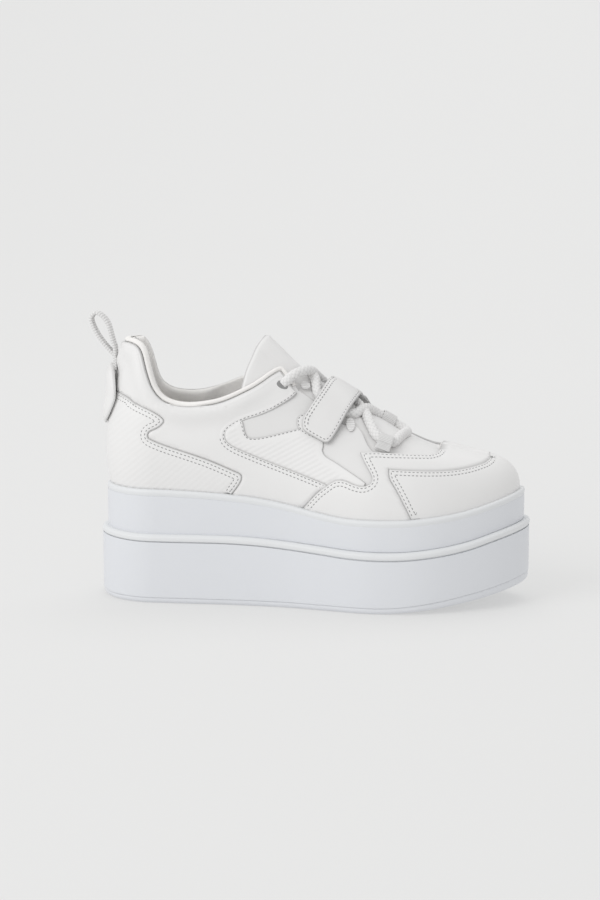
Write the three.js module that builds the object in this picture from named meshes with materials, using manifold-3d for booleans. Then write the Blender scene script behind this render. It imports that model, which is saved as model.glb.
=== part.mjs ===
// Platform sneaker, a right shoe, as separate solids. Millimetres, +Z up.
// X runs from heel to toe, the outer side of the foot is -Y, the floor is z = 0.
import * as THREE from 'three';
import { mergeVertices } from 'three/addons/utils/BufferGeometryUtils.js';
import Module from 'manifold-3d';

const wasm = await Module();
wasm.setup();

// Driving sizes of the sole
const LENGTH = 280;
const BALL_WIDTH = 107;
const PLATFORM = 74;
const LOWER_TIER = 45.3;
const TOE_SPRING = 14;
const HEEL_BEVEL = 1.5;
const HEEL_ROUND = 40;
const TOE_ROUND = 75;
const TOE_SHIFT = 4;
const TIER_STEP = 3.5;
const OUTSOLE = 4.5;
const OUTSOLE_TOE = 1.8;
const LOWER_BEAD = 5.7;
const GROOVE_DEPTH = 0.9;
const UPPER_BEAD = 4.4;
const LUG_DEPTH = 2;
const LUG_PITCH = 13;
const LUG_GROOVE = 3.2;
const LUG_RIM = 11;
const LUG_FIRST = 0.09;
const LUG_LAST = 0.86;
const CUP_DEPTH = 8.6;
const INSOLE = 4;
const SPRING_FROM = 0.655;
const SPRING_CURVE = 1.6;
const BEVEL_SPAN = 0.05;
const SHIFT_FROM = 0.6;
const THICK_FROM = 0.7;

// Driving sizes of the upper
const COLLAR_HEIGHT = 95;
const FEATHER = 6.8;
const COVER = 1.6;
const WALL = 2;
const COLLAR_PAD = 4.5;
const CLEAR = 0.3;
const SKIN = 0.8;
const COLLAR_PANEL = 1.4;
const COUNTER = 2;
const MUDGUARD = 1.6;
const TOE_CAP = 2.2;
const BINDING = 1.2;
const BINDING_WIDTH = 3.2;
const PATCH = 0.9;
const TONGUE = 5.2;
const TONGUE_SINK = 0.8;
const TONGUE_PEAK = 1.5;
const TONGUE_CREST = 1.7;
const TONGUE_DIP = 1;
const TONGUE_EDGE = 0.55;

// Where these change over the form: shares of its rows, or millimetres along X
const UPPER_FOOT = -0.92;
const BELOW = -1.4;
const OVERLAY_FOOT = 0.007;
const TONGUE_FOOT = 0.1;
const THROAT_END = 0.8;
const PANEL_END = 0.464;
const PAD_FOOT = 0.30;
const PAD_RISE = 0.26;
const PAD_FRONT = -0.22;
const PAD_FADE = 0.05;
const TONGUE_SIDE = 0.15;
const TONGUE_HIGH = 0.86;
const TONGUE_WIDE_OUTER = 0.24;
const TONGUE_WIDE_INNER = 0.04;
const STRAP_FROM = 0.46;
const STRAP_RAMP = 0.18;

// Driving sizes of straps, lace and loops
const STRAP = 2.6;
const STRAP_LIFT = 4.1;
const LACE_RADIUS = 3.2;
const LACE_SIDES = 8;
const WEBBING = 1.1;
const KEEPER_WIDTH = 9.6;
const KEEPER_TAIL = 1.6;
const KEEPER_DROP = 0.3;
const PAD_THICK = 4.2;
const PAD_LEAN = 3.2;
const LOOP_WIDTH = 9;
const LOOP_THICK = 1.8;

// Stations along each side and rows up the form
const STATIONS = 20;
const ROWS = [0, 0.10, 0.21, 0.33, 0.46, 0.59, 0.72, 0.86, 1];

// Half widths of the lower tier: share of the length, shares of the ball width
const PLAN = [
  { along: 0.00, outer: 0.346, inner: 0.346 },
  { along: 0.14, outer: 0.353, inner: 0.349 },
  { along: 0.23, outer: 0.360, inner: 0.346 },
  { along: 0.32, outer: 0.367, inner: 0.336 },
  { along: 0.45, outer: 0.404, inner: 0.342 },
  { along: 0.535, outer: 0.461, inner: 0.376 },
  { along: 0.64, outer: 0.528, inner: 0.435 },
  { along: 0.71, outer: 0.537, inner: 0.458 },
  { along: 0.78, outer: 0.523, inner: 0.458 },
  { along: 0.86, outer: 0.496, inner: 0.444 },
  { along: 1.00, outer: 0.458, inner: 0.421 },
];

// Heights of the two lips as shares of the lower tier and of the platform
const LIPS = [
  { along: 0.00, low: 1.033, high: 1.012 },
  { along: 0.08, low: 1.004, high: 1.000 },
  { along: 0.16, low: 0.998, high: 0.998 },
  { along: 0.25, low: 1.000, high: 0.985 },
  { along: 0.31, low: 0.998, high: 0.970 },
  { along: 0.38, low: 0.982, high: 0.944 },
  { along: 0.45, low: 0.951, high: 0.901 },
  { along: 0.525, low: 0.915, high: 0.842 },
  { along: 0.58, low: 0.886, high: 0.811 },
  { along: 0.64, low: 0.872, high: 0.804 },
  { along: 0.70, low: 0.874, high: 0.806 },
  { along: 0.78, low: 0.914, high: 0.828 },
  { along: 0.86, low: 0.990, high: 0.872 },
  { along: 0.93, low: 1.103, high: 0.940 },
  { along: 1.00, low: 1.205, high: 1.015 },
];

// Ridge of the instep: share of the length, rise above the platform as a share of the collar height
const RIDGE = [
  { along: 0.179, rise: 1.516 },
  { along: 0.286, rise: 1.295 },
  { along: 0.386, rise: 1.021 },
  { along: 0.471, rise: 0.811 },
  { along: 0.543, rise: 0.688 },
  { along: 0.632, rise: 0.535 },
  { along: 0.693, rise: 0.426 },
  { along: 0.750, rise: 0.339 },
  { along: 0.786, rise: 0.299 },
  { along: 0.821, rise: 0.269 },
  { along: 0.861, rise: 0.240 },
  { along: 0.893, rise: 0.217 },
];
const RIDGE_BACK = 0.193;
const RIDGE_FRONT = 0.886;

// Cross sections: two exponents, bulge and sideways place of the ridge as shares of the ball width
const SECTIONS = [
  { along: 0.00, up: 2.4, across: 2.4, bulge: 0.030, centre: 0.000 },
  { along: 0.20, up: 2.5, across: 2.4, bulge: 0.028, centre: 0.000 },
  { along: 0.35, up: 2.2, across: 2.2, bulge: 0.024, centre: 0.009 },
  { along: 0.50, up: 1.9, across: 2.0, bulge: 0.021, centre: 0.028 },
  { along: 0.65, up: 1.9, across: 2.1, bulge: 0.017, centre: 0.037 },
  { along: 0.80, up: 2.1, across: 2.2, bulge: 0.011, centre: 0.047 },
  { along: 1.00, up: 2.2, across: 2.2, bulge: 0.003, centre: 0.037 },
];
const BULGE_SPAN = 0.58;
const BULGE_CURVE = 0.75;
const MIDDLE = BALL_WIDTH * 0.037;

// Side view lines of the upper. along is the share of the length from the heel,
// rise the height above the platform as a share of the collar height.
const COLLAR_OUTER = [
  { along: -0.060, rise: 1.010, corner: true },
  { along: 0.070, rise: 1.008 },
  { along: 0.088, rise: 1.001 },
  { along: 0.101, rise: 0.988 },
  { along: 0.112, rise: 0.960 },
  { along: 0.120, rise: 0.918 },
  { along: 0.126, rise: 0.861 },
  { along: 0.134, rise: 0.782 },
  { along: 0.146, rise: 0.695 },
  { along: 0.165, rise: 0.630 },
  { along: 0.195, rise: 0.597 },
  { along: 0.235, rise: 0.593 },
  { along: 0.290, rise: 0.620 },
  { along: 0.346, rise: 0.690 },
  { along: 0.375, rise: 0.738 },
];
const COLLAR_INNER = [
  { along: -0.060, rise: 1.010, corner: true },
  { along: 0.070, rise: 1.008 },
  { along: 0.086, rise: 0.998 },
  { along: 0.096, rise: 0.962 },
  { along: 0.104, rise: 0.905 },
  { along: 0.111, rise: 0.825 },
  { along: 0.119, rise: 0.736 },
  { along: 0.131, rise: 0.675 },
  { along: 0.151, rise: 0.635 },
  { along: 0.180, rise: 0.617 },
  { along: 0.220, rise: 0.620 },
  { along: 0.269, rise: 0.653 },
  { along: 0.316, rise: 0.709 },
  { along: 0.362, rise: 0.758 },
];
const COLLAR_TAB = [
  { along: 0.404, rise: 0.796 },
  { along: 0.425, rise: 0.817 },
  { along: 0.443, rise: 0.765 },
  { along: 0.464, rise: 0.690 },
];
const THROAT_OUTER = [
  { along: 0.468, rise: 0.668, corner: true },
  { along: 0.500, rise: 0.611 },
  { along: 0.532, rise: 0.526 },
  { along: 0.571, rise: 0.458 },
  { along: 0.604, rise: 0.442 },
  { along: 0.620, rise: 0.400 },
  { along: 0.636, rise: 0.321 },
  { along: 0.657, rise: 0.280 },
  { along: 0.721, rise: 0.262 },
  { along: 0.773, rise: 0.249 },
  { along: 0.788, rise: 0.257 },
  { along: 0.795, rise: 0.284 },
  { along: 0.800, rise: 0.330, corner: true },
];
const THROAT_INNER = [
  { along: 0.468, rise: 0.678, corner: true },
  { along: 0.500, rise: 0.640 },
  { along: 0.543, rise: 0.585 },
  { along: 0.589, rise: 0.525 },
  { along: 0.632, rise: 0.464 },
  { along: 0.693, rise: 0.362 },
  { along: 0.750, rise: 0.278 },
  { along: 0.779, rise: 0.252 },
  { along: 0.794, rise: 0.262 },
  { along: 0.800, rise: 0.330, corner: true },
];
const COUNTER_LINE = [
  { along: -0.100, rise: 0.655, corner: true },
  { along: 0.014, rise: 0.655 },
  { along: 0.072, rise: 0.619 },
  { along: 0.096, rise: 0.577 },
  { along: 0.142, rise: 0.519 },
  { along: 0.163, rise: 0.474 },
  { along: 0.162, rise: 0.448 },
  { along: 0.150, rise: 0.418 },
  { along: 0.131, rise: 0.388 },
  { along: 0.129, rise: 0.354 },
  { along: 0.139, rise: 0.335 },
  { along: 0.171, rise: 0.299 },
  { along: 0.260, rise: 0.216 },
  { along: 0.323, rise: 0.142 },
  { along: 0.342, rise: 0.116 },
  { along: 0.345, rise: 0.089 },
  { along: 0.339, rise: 0.048 },
  { along: 0.321, rise: -0.024, corner: true },
  { along: 0.311, rise: -0.084, corner: true },
  { along: -0.100, rise: -0.084, corner: true },
];
const WINDOW_LINE = [
  { along: -0.100, rise: 1.600, corner: true },
  { along: 0.470, rise: 1.600, corner: true },
  { along: 0.466, rise: 0.705, corner: true },
  { along: 0.465, rise: 0.651 },
  { along: 0.456, rise: 0.618 },
  { along: 0.437, rise: 0.582 },
  { along: 0.409, rise: 0.537 },
  { along: 0.381, rise: 0.504 },
  { along: 0.352, rise: 0.477 },
  { along: 0.329, rise: 0.446 },
  { along: 0.312, rise: 0.411 },
  { along: 0.306, rise: 0.377 },
  { along: 0.310, rise: 0.336 },
  { along: 0.327, rise: 0.299 },
  { along: 0.360, rise: 0.258 },
  { along: 0.412, rise: 0.201 },
  { along: 0.472, rise: 0.140 },
  { along: 0.532, rise: 0.080 },
  { along: 0.545, rise: 0.065, corner: true },
  { along: 0.545, rise: -0.200, corner: true },
  { along: -0.100, rise: -0.200, corner: true },
];
const SIDE_LINE = [
  { along: 0.330, rise: 0.500, corner: true },
  { along: 0.345, rise: 0.463, corner: true },
  { along: 0.349, rise: 0.421 },
  { along: 0.353, rise: 0.384 },
  { along: 0.361, rise: 0.362 },
  { along: 0.379, rise: 0.360 },
  { along: 0.412, rise: 0.378 },
  { along: 0.470, rise: 0.419 },
  { along: 0.500, rise: 0.430, corner: true },
  { along: 0.529, rise: 0.379, corner: true },
  { along: 0.532, rise: 0.319 },
  { along: 0.531, rise: 0.282 },
  { along: 0.539, rise: 0.249 },
  { along: 0.560, rise: 0.216 },
  { along: 0.590, rise: 0.166 },
  { along: 0.620, rise: 0.114 },
  { along: 0.632, rise: 0.089, corner: true },
  { along: 0.620, rise: 0.010, corner: true },
  { along: 0.500, rise: 0.040, corner: true },
  { along: 0.290, rise: 0.280, corner: true },
  { along: 0.290, rise: 0.450, corner: true },
];
const MUDGUARD_LINE = [
  { along: 0.489, rise: -0.094, corner: true },
  { along: 0.519, rise: 0.004 },
  { along: 0.539, rise: 0.052 },
  { along: 0.556, rise: 0.087 },
  { along: 0.570, rise: 0.102 },
  { along: 0.588, rise: 0.097 },
  { along: 0.605, rise: 0.079 },
  { along: 0.626, rise: 0.068 },
  { along: 0.642, rise: 0.087 },
  { along: 0.646, rise: 0.115 },
  { along: 0.642, rise: 0.147 },
  { along: 0.627, rise: 0.218 },
  { along: 0.616, rise: 0.280, corner: true },
];
const MUDGUARD_TOP_OUTER = [
  { along: 0.666, rise: 0.277 },
  { along: 0.723, rise: 0.261 },
  { along: 0.773, rise: 0.246, corner: true },
  { along: 0.800, rise: 0.600, corner: true },
];
const MUDGUARD_TOP_INNER = [
  { along: 0.664, rise: 0.280, corner: true },
  { along: 0.690, rise: 0.600, corner: true },
];
const MUDGUARD_REST = [
  { along: 1.100, rise: 0.600, corner: true },
  { along: 1.100, rise: -0.400, corner: true },
  { along: 0.470, rise: -0.200, corner: true },
];
const TOE_CAP_LINE = [
  { along: 0.682, rise: 0.176, corner: true },
  { along: 0.725, rise: 0.167 },
  { along: 0.770, rise: 0.158 },
  { along: 0.812, rise: 0.153 },
  { along: 0.849, rise: 0.158 },
  { along: 0.880, rise: 0.171 },
  { along: 0.899, rise: 0.185 },
  { along: 0.907, rise: 0.211 },
  { along: 0.908, rise: 0.300, corner: true },
  { along: 1.100, rise: 0.300, corner: true },
  { along: 1.100, rise: -0.400, corner: true },
  { along: 0.760, rise: -0.300, corner: true },
  { along: 0.734, rise: -0.142 },
  { along: 0.717, rise: -0.042 },
  { along: 0.701, rise: 0.043 },
  { along: 0.685, rise: 0.118 },
];
const PATCH_LINE = [
  { along: 0.471, rise: 0.500 },
  { along: 0.469, rise: 0.449 },
  { along: 0.476, rise: 0.409 },
  { along: 0.487, rise: 0.382 },
  { along: 0.530, rise: 0.336 },
  { along: 0.545, rise: 0.358, corner: true },
  { along: 0.552, rise: 0.440, corner: true },
  { along: 0.500, rise: 0.530, corner: true },
];
const STRAP_OUTER = [
  { along: 0.560, rise: 1.100, corner: true },
  { along: 0.538, rise: 0.757 },
  { along: 0.530, rise: 0.715 },
  { along: 0.508, rise: 0.608 },
  { along: 0.486, rise: 0.514 },
  { along: 0.482, rise: 0.473 },
  { along: 0.484, rise: 0.432 },
  { along: 0.493, rise: 0.407 },
  { along: 0.512, rise: 0.377 },
  { along: 0.530, rise: 0.352 },
  { along: 0.540, rise: 0.346 },
  { along: 0.550, rise: 0.366 },
  { along: 0.572, rise: 0.466 },
  { along: 0.589, rise: 0.551 },
  { along: 0.604, rise: 0.614 },
  { along: 0.608, rise: 0.645 },
  { along: 0.640, rise: 1.100, corner: true },
];
const STRAP_INNER = [
  { along: 0.560, rise: 1.100, corner: true },
  { along: 0.538, rise: 0.757 },
  { along: 0.545, rise: 0.600 },
  { along: 0.560, rise: 0.440 },
  { along: 0.578, rise: 0.320, corner: true },
  { along: 0.662, rise: 0.320, corner: true },
  { along: 0.640, rise: 0.440 },
  { along: 0.618, rise: 0.560 },
  { along: 0.608, rise: 0.645 },
  { along: 0.640, rise: 1.100, corner: true },
];
const TONGUE_LINE = [
  { along: 0.386, rise: 1.032, corner: true },
  { along: 0.374, rise: 0.980 },
  { along: 0.363, rise: 0.905 },
  { along: 0.351, rise: 0.821 },
  { along: 0.343, rise: 0.737 },
  { along: 0.336, rise: 0.632 },
  { along: 0.338, rise: 0.480, corner: true },
  { along: 0.460, rise: 0.330 },
  { along: 0.570, rise: 0.240 },
  { along: 0.680, rise: 0.170 },
  { along: 0.790, rise: 0.150 },
  { along: 0.828, rise: 0.180, corner: true },
  { along: 0.840, rise: 0.600, corner: true },
  { along: 0.500, rise: 1.300, corner: true },
];

// Routes of the lace, by hand, with the lift of its middle above the upper's leather
const LACE_LONG = [
  { x: -18.6, y: -16.8, lift: 0.2 },
  { x: -14.0, y: -12.4, lift: 4.4 },
  { x: -8.8, y: -7.4, lift: 5.0 },
  { x: -3.2, y: -1.0, lift: 3.6 },
  { x: 2.4, y: 6.0, lift: 1.6 },
  { x: 11.0, y: 10.0, lift: 0.0 },
  { x: 21.0, y: 8.0, lift: -0.4 },
  { x: 29.0, y: 0.0, lift: -0.6 },
  { x: 34.6, y: -9.5, lift: -0.6 },
  { x: 36.8, y: -16.6, lift: 0.2 },
  { x: 39.4, y: -22.6, lift: 0.6 },
  { x: 42.8, y: -27.0, lift: 0.6 },
  { x: 48.3, y: -28.8, lift: 0.6 },
  { x: 53.6, y: -26.6, lift: 0.3 },
  { x: 57.0, y: -19.0, lift: -0.3 },
  { x: 59.6, y: -9.0, lift: -0.6 },
  { x: 61.0, y: -1.0, lift: -0.6 },
  { x: 60.4, y: 5.4, lift: -0.6 },
  { x: 56.4, y: 8.0, lift: -0.6 },
];
const LACE_SHORT = [
  { x: -18.6, y: 18.4, lift: 0.2 },
  { x: -14.0, y: 14.0, lift: 4.6 },
  { x: -8.0, y: 9.0, lift: 4.4 },
  { x: -2.6, y: 3.0, lift: 1.6 },
  { x: 1.2, y: -3.6, lift: 0.8 },
  { x: 3.6, y: -12.0, lift: 0.2 },
  { x: 8.0, y: -15.6, lift: -0.4 },
  { x: 15.0, y: -17.0, lift: -0.7 },
  { x: 22.0, y: -17.6, lift: -0.7 },
  { x: 28.2, y: -15.6, lift: -0.6 },
  { x: 32.2, y: -8.6, lift: 0.0 },
  { x: 35.6, y: -1.6, lift: 0.4 },
  { x: 40.6, y: 4.6, lift: -0.4 },
  { x: 48.4, y: 7.6, lift: -0.6 },
  { x: 56.4, y: 8.0, lift: -0.6 },
];
const KEEPER_OUTER = 12;
const KEEPER_INNER = 13;
const LACE_STEPS = 24;

// Small pads on the form: place in plan or on the heel, half sizes as shares of the form
const TONGUE_TAB = { x: -4.4, y: -11.2, halfAround: 0.010, halfUp: 0.055, rings: 1, spokes: 8 };
const LACE_TAB = { x: 25.6, y: -25, halfAround: 0.008, halfUp: 0.06, rings: 1, spokes: 10 };
const HEEL_PAD = { around: 0, up: 0.27, halfAround: 0.1, halfUp: 0.098, rings: 3, spokes: 20 };

// Pull loop in side view: its drop above its foot, as shares of the loop's height
const LOOP_FOOT = 0.770;
const LOOP_HEEL = 0.0397;
const LOOP_HEIGHT = 38;
const LOOP_POINTS = 32;
const LOOP_LINE = [
  { back: 0.045, up: 0.235 },
  { back: 0.140, up: 0.350 },
  { back: 0.265, up: 0.494 },
  { back: 0.365, up: 0.642 },
  { back: 0.450, up: 0.826 },
  { back: 0.452, up: 0.921 },
  { back: 0.385, up: 0.989 },
  { back: 0.305, up: 0.963 },
  { back: 0.230, up: 0.900 },
  { back: 0.168, up: 0.803 },
  { back: 0.125, up: 0.661 },
  { back: 0.088, up: 0.511 },
  { back: 0.052, up: 0.368 },
];

// Value of one column of a table between its rows
function smooth(table, column, along) {
  const last = table.length - 1;
  const at = THREE.MathUtils.clamp(along, table[0].along, table[last].along);
  let i = 0;
  while (i < last - 1 && at > table[i + 1].along) i += 1;
  const width = (k) => table[k + 1].along - table[k].along;
  const slope = (k) => (table[k + 1][column] - table[k][column]) / width(k);
  const knot = (k) => {
    if (k === 0) return slope(0);
    if (k === last) return slope(last - 1);
    return (slope(k - 1) * width(k) + slope(k) * width(k - 1)) / (width(k) + width(k - 1));
  };
  const t = (at - table[i].along) / width(i);
  const start = (1 + 2 * t) * (1 - t) ** 2 * table[i][column] + t * (1 - t) ** 2 * width(i) * knot(i);
  const end = t * t * (3 - 2 * t) * table[i + 1][column] + t * t * (t - 1) * width(i) * knot(i + 1);
  return start + end;
}

const ease = (t) => THREE.MathUtils.smoothstep(t, 0, 1);
const sideAngle = (theta) => (theta <= 1 ? theta : 2 - theta);
const alongOf = (theta) => (1 - Math.cos(Math.PI * sideAngle(theta))) / 2;
const shareOf = (x) => THREE.MathUtils.clamp(x / LENGTH + 0.5, 0, 1);
const lowerLip = (x) => LOWER_TIER * smooth(LIPS, 'low', shareOf(x));
const upperLip = (x) => PLATFORM * smooth(LIPS, 'high', shareOf(x));

// Height of the tread: flat, rising at the toe and a little at the heel
function treadHeight(x) {
  const toe = THREE.MathUtils.clamp((shareOf(x) - SPRING_FROM) / (1 - SPRING_FROM), 0, 1);
  const heel = THREE.MathUtils.clamp((BEVEL_SPAN - shareOf(x)) / BEVEL_SPAN, 0, 1);
  return TOE_SPRING * toe ** SPRING_CURVE + HEEL_BEVEL * heel ** 2;
}

// Plan outline of the lower tier. theta runs 0 at the heel, outer side, 1 at the toe, inner side, 2.
function plan(theta) {
  const turn = ((theta % 2) + 2) % 2;
  const s = alongOf(turn);
  const back = THREE.MathUtils.clamp((LENGTH * s) / HEEL_ROUND, 0, 1);
  const front = THREE.MathUtils.clamp((LENGTH * (1 - s)) / TOE_ROUND, 0, 1);
  const round = Math.sqrt(1 - (1 - back) ** 2) * Math.sqrt(1 - (1 - front) ** 2);
  const half = turn <= 1 ? -smooth(PLAN, 'outer', s) : smooth(PLAN, 'inner', s);
  const shift = TOE_SHIFT * ease((s - SHIFT_FROM) / (1 - SHIFT_FROM));
  return [LENGTH * (s - 0.5), half * BALL_WIDTH * round + shift];
}

function outline(theta, inset) {
  const step = 1e-3;
  const [x0, y0] = plan(theta - step);
  const [x1, y1] = plan(theta + step);
  const [x, y] = plan(theta);
  const length = Math.hypot(x1 - x0, y1 - y0);
  return [x - ((y1 - y0) / length) * inset, y + ((x1 - x0) / length) * inset];
}

// Outer face of the overlays. c is 0 at the lip and 1 at the ridge; below 0 it goes down into the cup.
function skinPoint(theta, c) {
  const s = alongOf(theta);
  const [xf, yf] = outline(theta, FEATHER);
  const [xo, yo] = outline(theta, FEATHER - 1);
  const xr = LENGTH * (RIDGE_BACK + (RIDGE_FRONT - RIDGE_BACK) * s - 0.5);
  const yr = BALL_WIDTH * smooth(SECTIONS, 'centre', s);
  const zr = PLATFORM + COLLAR_HEIGHT * smooth(RIDGE, 'rise', shareOf(xr));
  const zf = upperLip(xf);
  const up = Math.sin((THREE.MathUtils.clamp(c, 0, 1) * Math.PI) / 2);
  const reach = (1 - up ** smooth(SECTIONS, 'up', s)) ** (1 / smooth(SECTIONS, 'across', s));
  const rise = (zr - zf) * up;
  const belly = Math.sin(Math.PI * THREE.MathUtils.clamp(rise / (BULGE_SPAN * COLLAR_HEIGHT), 0, 1));
  const swell = BALL_WIDTH * smooth(SECTIONS, 'bulge', s) * Math.max(belly, 0) ** BULGE_CURVE;
  return new THREE.Vector3(
    xr + (xf - xr + (xo - xf) * swell) * reach,
    yr + (yf - yr + (yo - yf) * swell) * reach,
    zf + rise + Math.min(c, 0) * CUP_DEPTH,
  );
}

function skinNormal(theta, c) {
  const step = 2e-3;
  if (c > 1 - step) {
    const s = alongOf(theta);
    const at = RIDGE_BACK + (RIDGE_FRONT - RIDGE_BACK) * s;
    const fall = COLLAR_HEIGHT * (smooth(RIDGE, 'rise', at + step) - smooth(RIDGE, 'rise', at - step));
    return new THREE.Vector3(-fall, 0, LENGTH * 2 * step).normalize();
  }
  const along = skinPoint((theta + step) % 2, c).sub(skinPoint((theta - step + 2) % 2, c));
  const upward = skinPoint(theta, c + step / 2).sub(skinPoint(theta, c - step / 2));
  return along.cross(upward).normalize();
}

// A place above the leather of the upper, which lies one cover below the outer face
function onSkin(theta, c, lift) {
  return skinPoint(theta, c).addScaledVector(skinNormal(theta, c), lift - COVER);
}

// The place on the form over a point of the plan view
function seek(x, y) {
  let s = shareOf(x);
  let across = 0;
  for (let i = 0; i < 24; i += 1) {
    const side = Math.acos(1 - 2 * s) / Math.PI;
    const centre = BALL_WIDTH * smooth(SECTIONS, 'centre', s);
    const theta = y < centre ? side : 2 - side;
    const [xf, yf] = outline(theta, FEATHER);
    across = THREE.MathUtils.clamp((y - centre) / (yf - centre), 1e-4, 1);
    const xr = LENGTH * (RIDGE_BACK + (RIDGE_FRONT - RIDGE_BACK) * s - 0.5);
    s = THREE.MathUtils.clamp(s + (x - xr - (xf - xr) * across) / LENGTH, 1e-4, 1 - 1e-4);
  }
  const side = Math.acos(1 - 2 * s) / Math.PI;
  const theta = y < BALL_WIDTH * smooth(SECTIONS, 'centre', s) ? side : 2 - side;
  const up = (1 - across ** smooth(SECTIONS, 'across', s)) ** (1 / smooth(SECTIONS, 'up', s));
  return [theta, (Math.asin(THREE.MathUtils.clamp(up, 0, 1)) * 2) / Math.PI];
}

// Joining and cutting of closed meshes
function solid(positions, triangles) {
  const mesh = new wasm.Mesh({
    numProp: 3,
    vertProperties: new Float32Array(positions),
    triVerts: new Uint32Array(triangles),
  });
  return new wasm.Manifold(mesh);
}

function solidOf(geometry) {
  const bare = geometry.clone();
  bare.deleteAttribute('normal');
  bare.deleteAttribute('uv');
  const merged = mergeVertices(bare, 1e-4);
  return solid(merged.attributes.position.array, merged.index.array);
}

function geometryOf(manifold) {
  const { vertProperties, triVerts } = manifold.getMesh();
  const geometry = new THREE.BufferGeometry();
  geometry.setAttribute('position', new THREE.BufferAttribute(vertProperties.slice(), 3));
  geometry.setIndex(new THREE.BufferAttribute(triVerts.slice(), 1));
  geometry.computeVertexNormals();
  return geometry;
}

// Closed solid from rings of points that share their stations, capped across at both ends
function loft(rings) {
  const count = STATIONS * 2;
  const positions = rings.flatMap((ring) => ring.flatMap((p) => [p.x, p.y, p.z]));
  const triangles = [];
  for (let j = 0; j < rings.length - 1; j += 1) {
    for (let k = 0; k < count; k += 1) {
      const a = j * count + k;
      const b = j * count + ((k + 1) % count);
      triangles.push(a, b, b + count, a, b + count, a + count);
    }
  }
  const cap = (first, upward) => {
    for (let k = 0; k < STATIONS; k += 1) {
      const corners = [k, k + 1, (count - k - 1) % count, (count - k) % count].map((v) => first + v);
      const [a, b, c, d] = corners;
      const faces = [];
      if (b !== c) faces.push([a, b, c]);
      if (a !== d) faces.push([a, c, d]);
      faces.forEach((face) => triangles.push(...(upward ? face : face.reverse())));
    }
  };
  cap(0, false);
  cap((rings.length - 1) * count, true);
  return solid(positions, triangles);
}

const thetas = Array.from({ length: STATIONS * 2 }, (_, k) => k / STATIONS);

// Ring of the sole at one inset and height
function soleRing(inset, height) {
  return thetas.map((theta) => {
    const [x, y] = outline(theta, inset);
    return new THREE.Vector3(x, y, height(x));
  });
}

// Closed solid under the form at a lift that may change over it; foot is its lowest row
function form(lift, foot) {
  const rows = [foot, ...ROWS.slice(foot > 0 ? 1 : 0, -1)];
  const count = STATIONS * 2;
  const positions = [];
  rows.forEach((c) => thetas.forEach((theta) => positions.push(...onSkin(theta, c, lift(theta, c)))));
  const top = rows.length * count;
  for (let k = 0; k <= STATIONS; k += 1) {
    positions.push(...onSkin(k / STATIONS, 1, lift(k / STATIONS, 1)));
  }
  const ridge = (k) => top + (k <= STATIONS ? k : count - k);
  const triangles = [];
  for (let j = 0; j < rows.length; j += 1) {
    for (let k = 0; k < count; k += 1) {
      const next = (k + 1) % count;
      const a = j * count + k;
      const b = j * count + next;
      const last = j === rows.length - 1;
      const c = last ? ridge(next) : b + count;
      const d = last ? ridge(k) : a + count;
      triangles.push(a, b, c, a, c, d);
    }
  }
  for (let k = 0; k < STATIONS; k += 1) {
    const [a, b, c, d] = [k, k + 1, (count - k - 1) % count, (count - k) % count];
    if (b !== c) triangles.push(c, b, a);
    if (a !== d) triangles.push(d, c, a);
  }
  return solid(positions, triangles);
}

// Side view outline in millimetres, rounded between its corners
function sideLine(rows, closed = true) {
  const points = rows.map((row) => ({
    x: LENGTH * (row.along - 0.5),
    z: PLATFORM + COLLAR_HEIGHT * row.rise,
    corner: row.corner,
  }));
  const count = points.length;
  const result = [];
  const last = closed ? count : count - 1;
  for (let i = 0; i < last; i += 1) {
    const p1 = points[i];
    const p2 = points[(i + 1) % count];
    const before = points[(i - 1 + count) % count];
    const after = points[(i + 2) % count];
    const p0 = p1.corner || (!closed && i === 0) ? p1 : before;
    const p3 = p2.corner || (!closed && i === count - 2) ? p2 : after;
    const steps = p1.corner && p2.corner ? 1 : 2;
    for (let j = 0; j < steps; j += 1) {
      const t = j / steps;
      const blend = (k) => 0.5 * (2 * p1[k] + (p2[k] - p0[k]) * t
        + (2 * p0[k] - 5 * p1[k] + 4 * p2[k] - p3[k]) * t * t
        + (3 * p1[k] - p0[k] - 3 * p2[k] + p3[k]) * t * t * t);
      result.push(new THREE.Vector2(blend('x'), blend('z')));
    }
  }
  if (!closed) result.push(new THREE.Vector2(points[count - 1].x, points[count - 1].z));
  return result;
}

// The outline moved outward by a gap
function grown(points, gap) {
  const outward = THREE.ShapeUtils.area(points) > 0 ? 1 : -1;
  return points.map((p, i) => {
    const a = points[(i - 1 + points.length) % points.length];
    const b = points[(i + 1) % points.length];
    const u = p.clone().sub(a).normalize();
    const v = b.clone().sub(p).normalize();
    const middle = u.clone().add(v).normalize();
    const reach = gap / Math.max(0.5, middle.dot(v));
    return new THREE.Vector2(p.x + middle.y * outward * reach, p.y - middle.x * outward * reach);
  });
}

// The outline moved outward by a gap, without the points that fold back over it where it bends sharply
function unfolded(points, gap) {
  return grown(points, gap).filter((p) => points.every((q) => p.distanceTo(q) > Math.abs(gap) * 0.96));
}

// Prism across the shoe from a side view outline, between two places in Y
function prism(points, from, to) {
  const geometry = new THREE.ExtrudeGeometry(new THREE.Shape(points), {
    depth: to - from,
    bevelEnabled: false,
  });
  geometry.rotateX(Math.PI / 2);
  geometry.translate(0, to, 0);
  return solidOf(geometry);
}

const outerPrism = (points) => prism(points, -BALL_WIDTH, MIDDLE);
const innerPrism = (points) => prism(points, MIDDLE, BALL_WIDTH);
const bothPrism = (points) => prism(points, -BALL_WIDTH, BALL_WIDTH);

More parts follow.
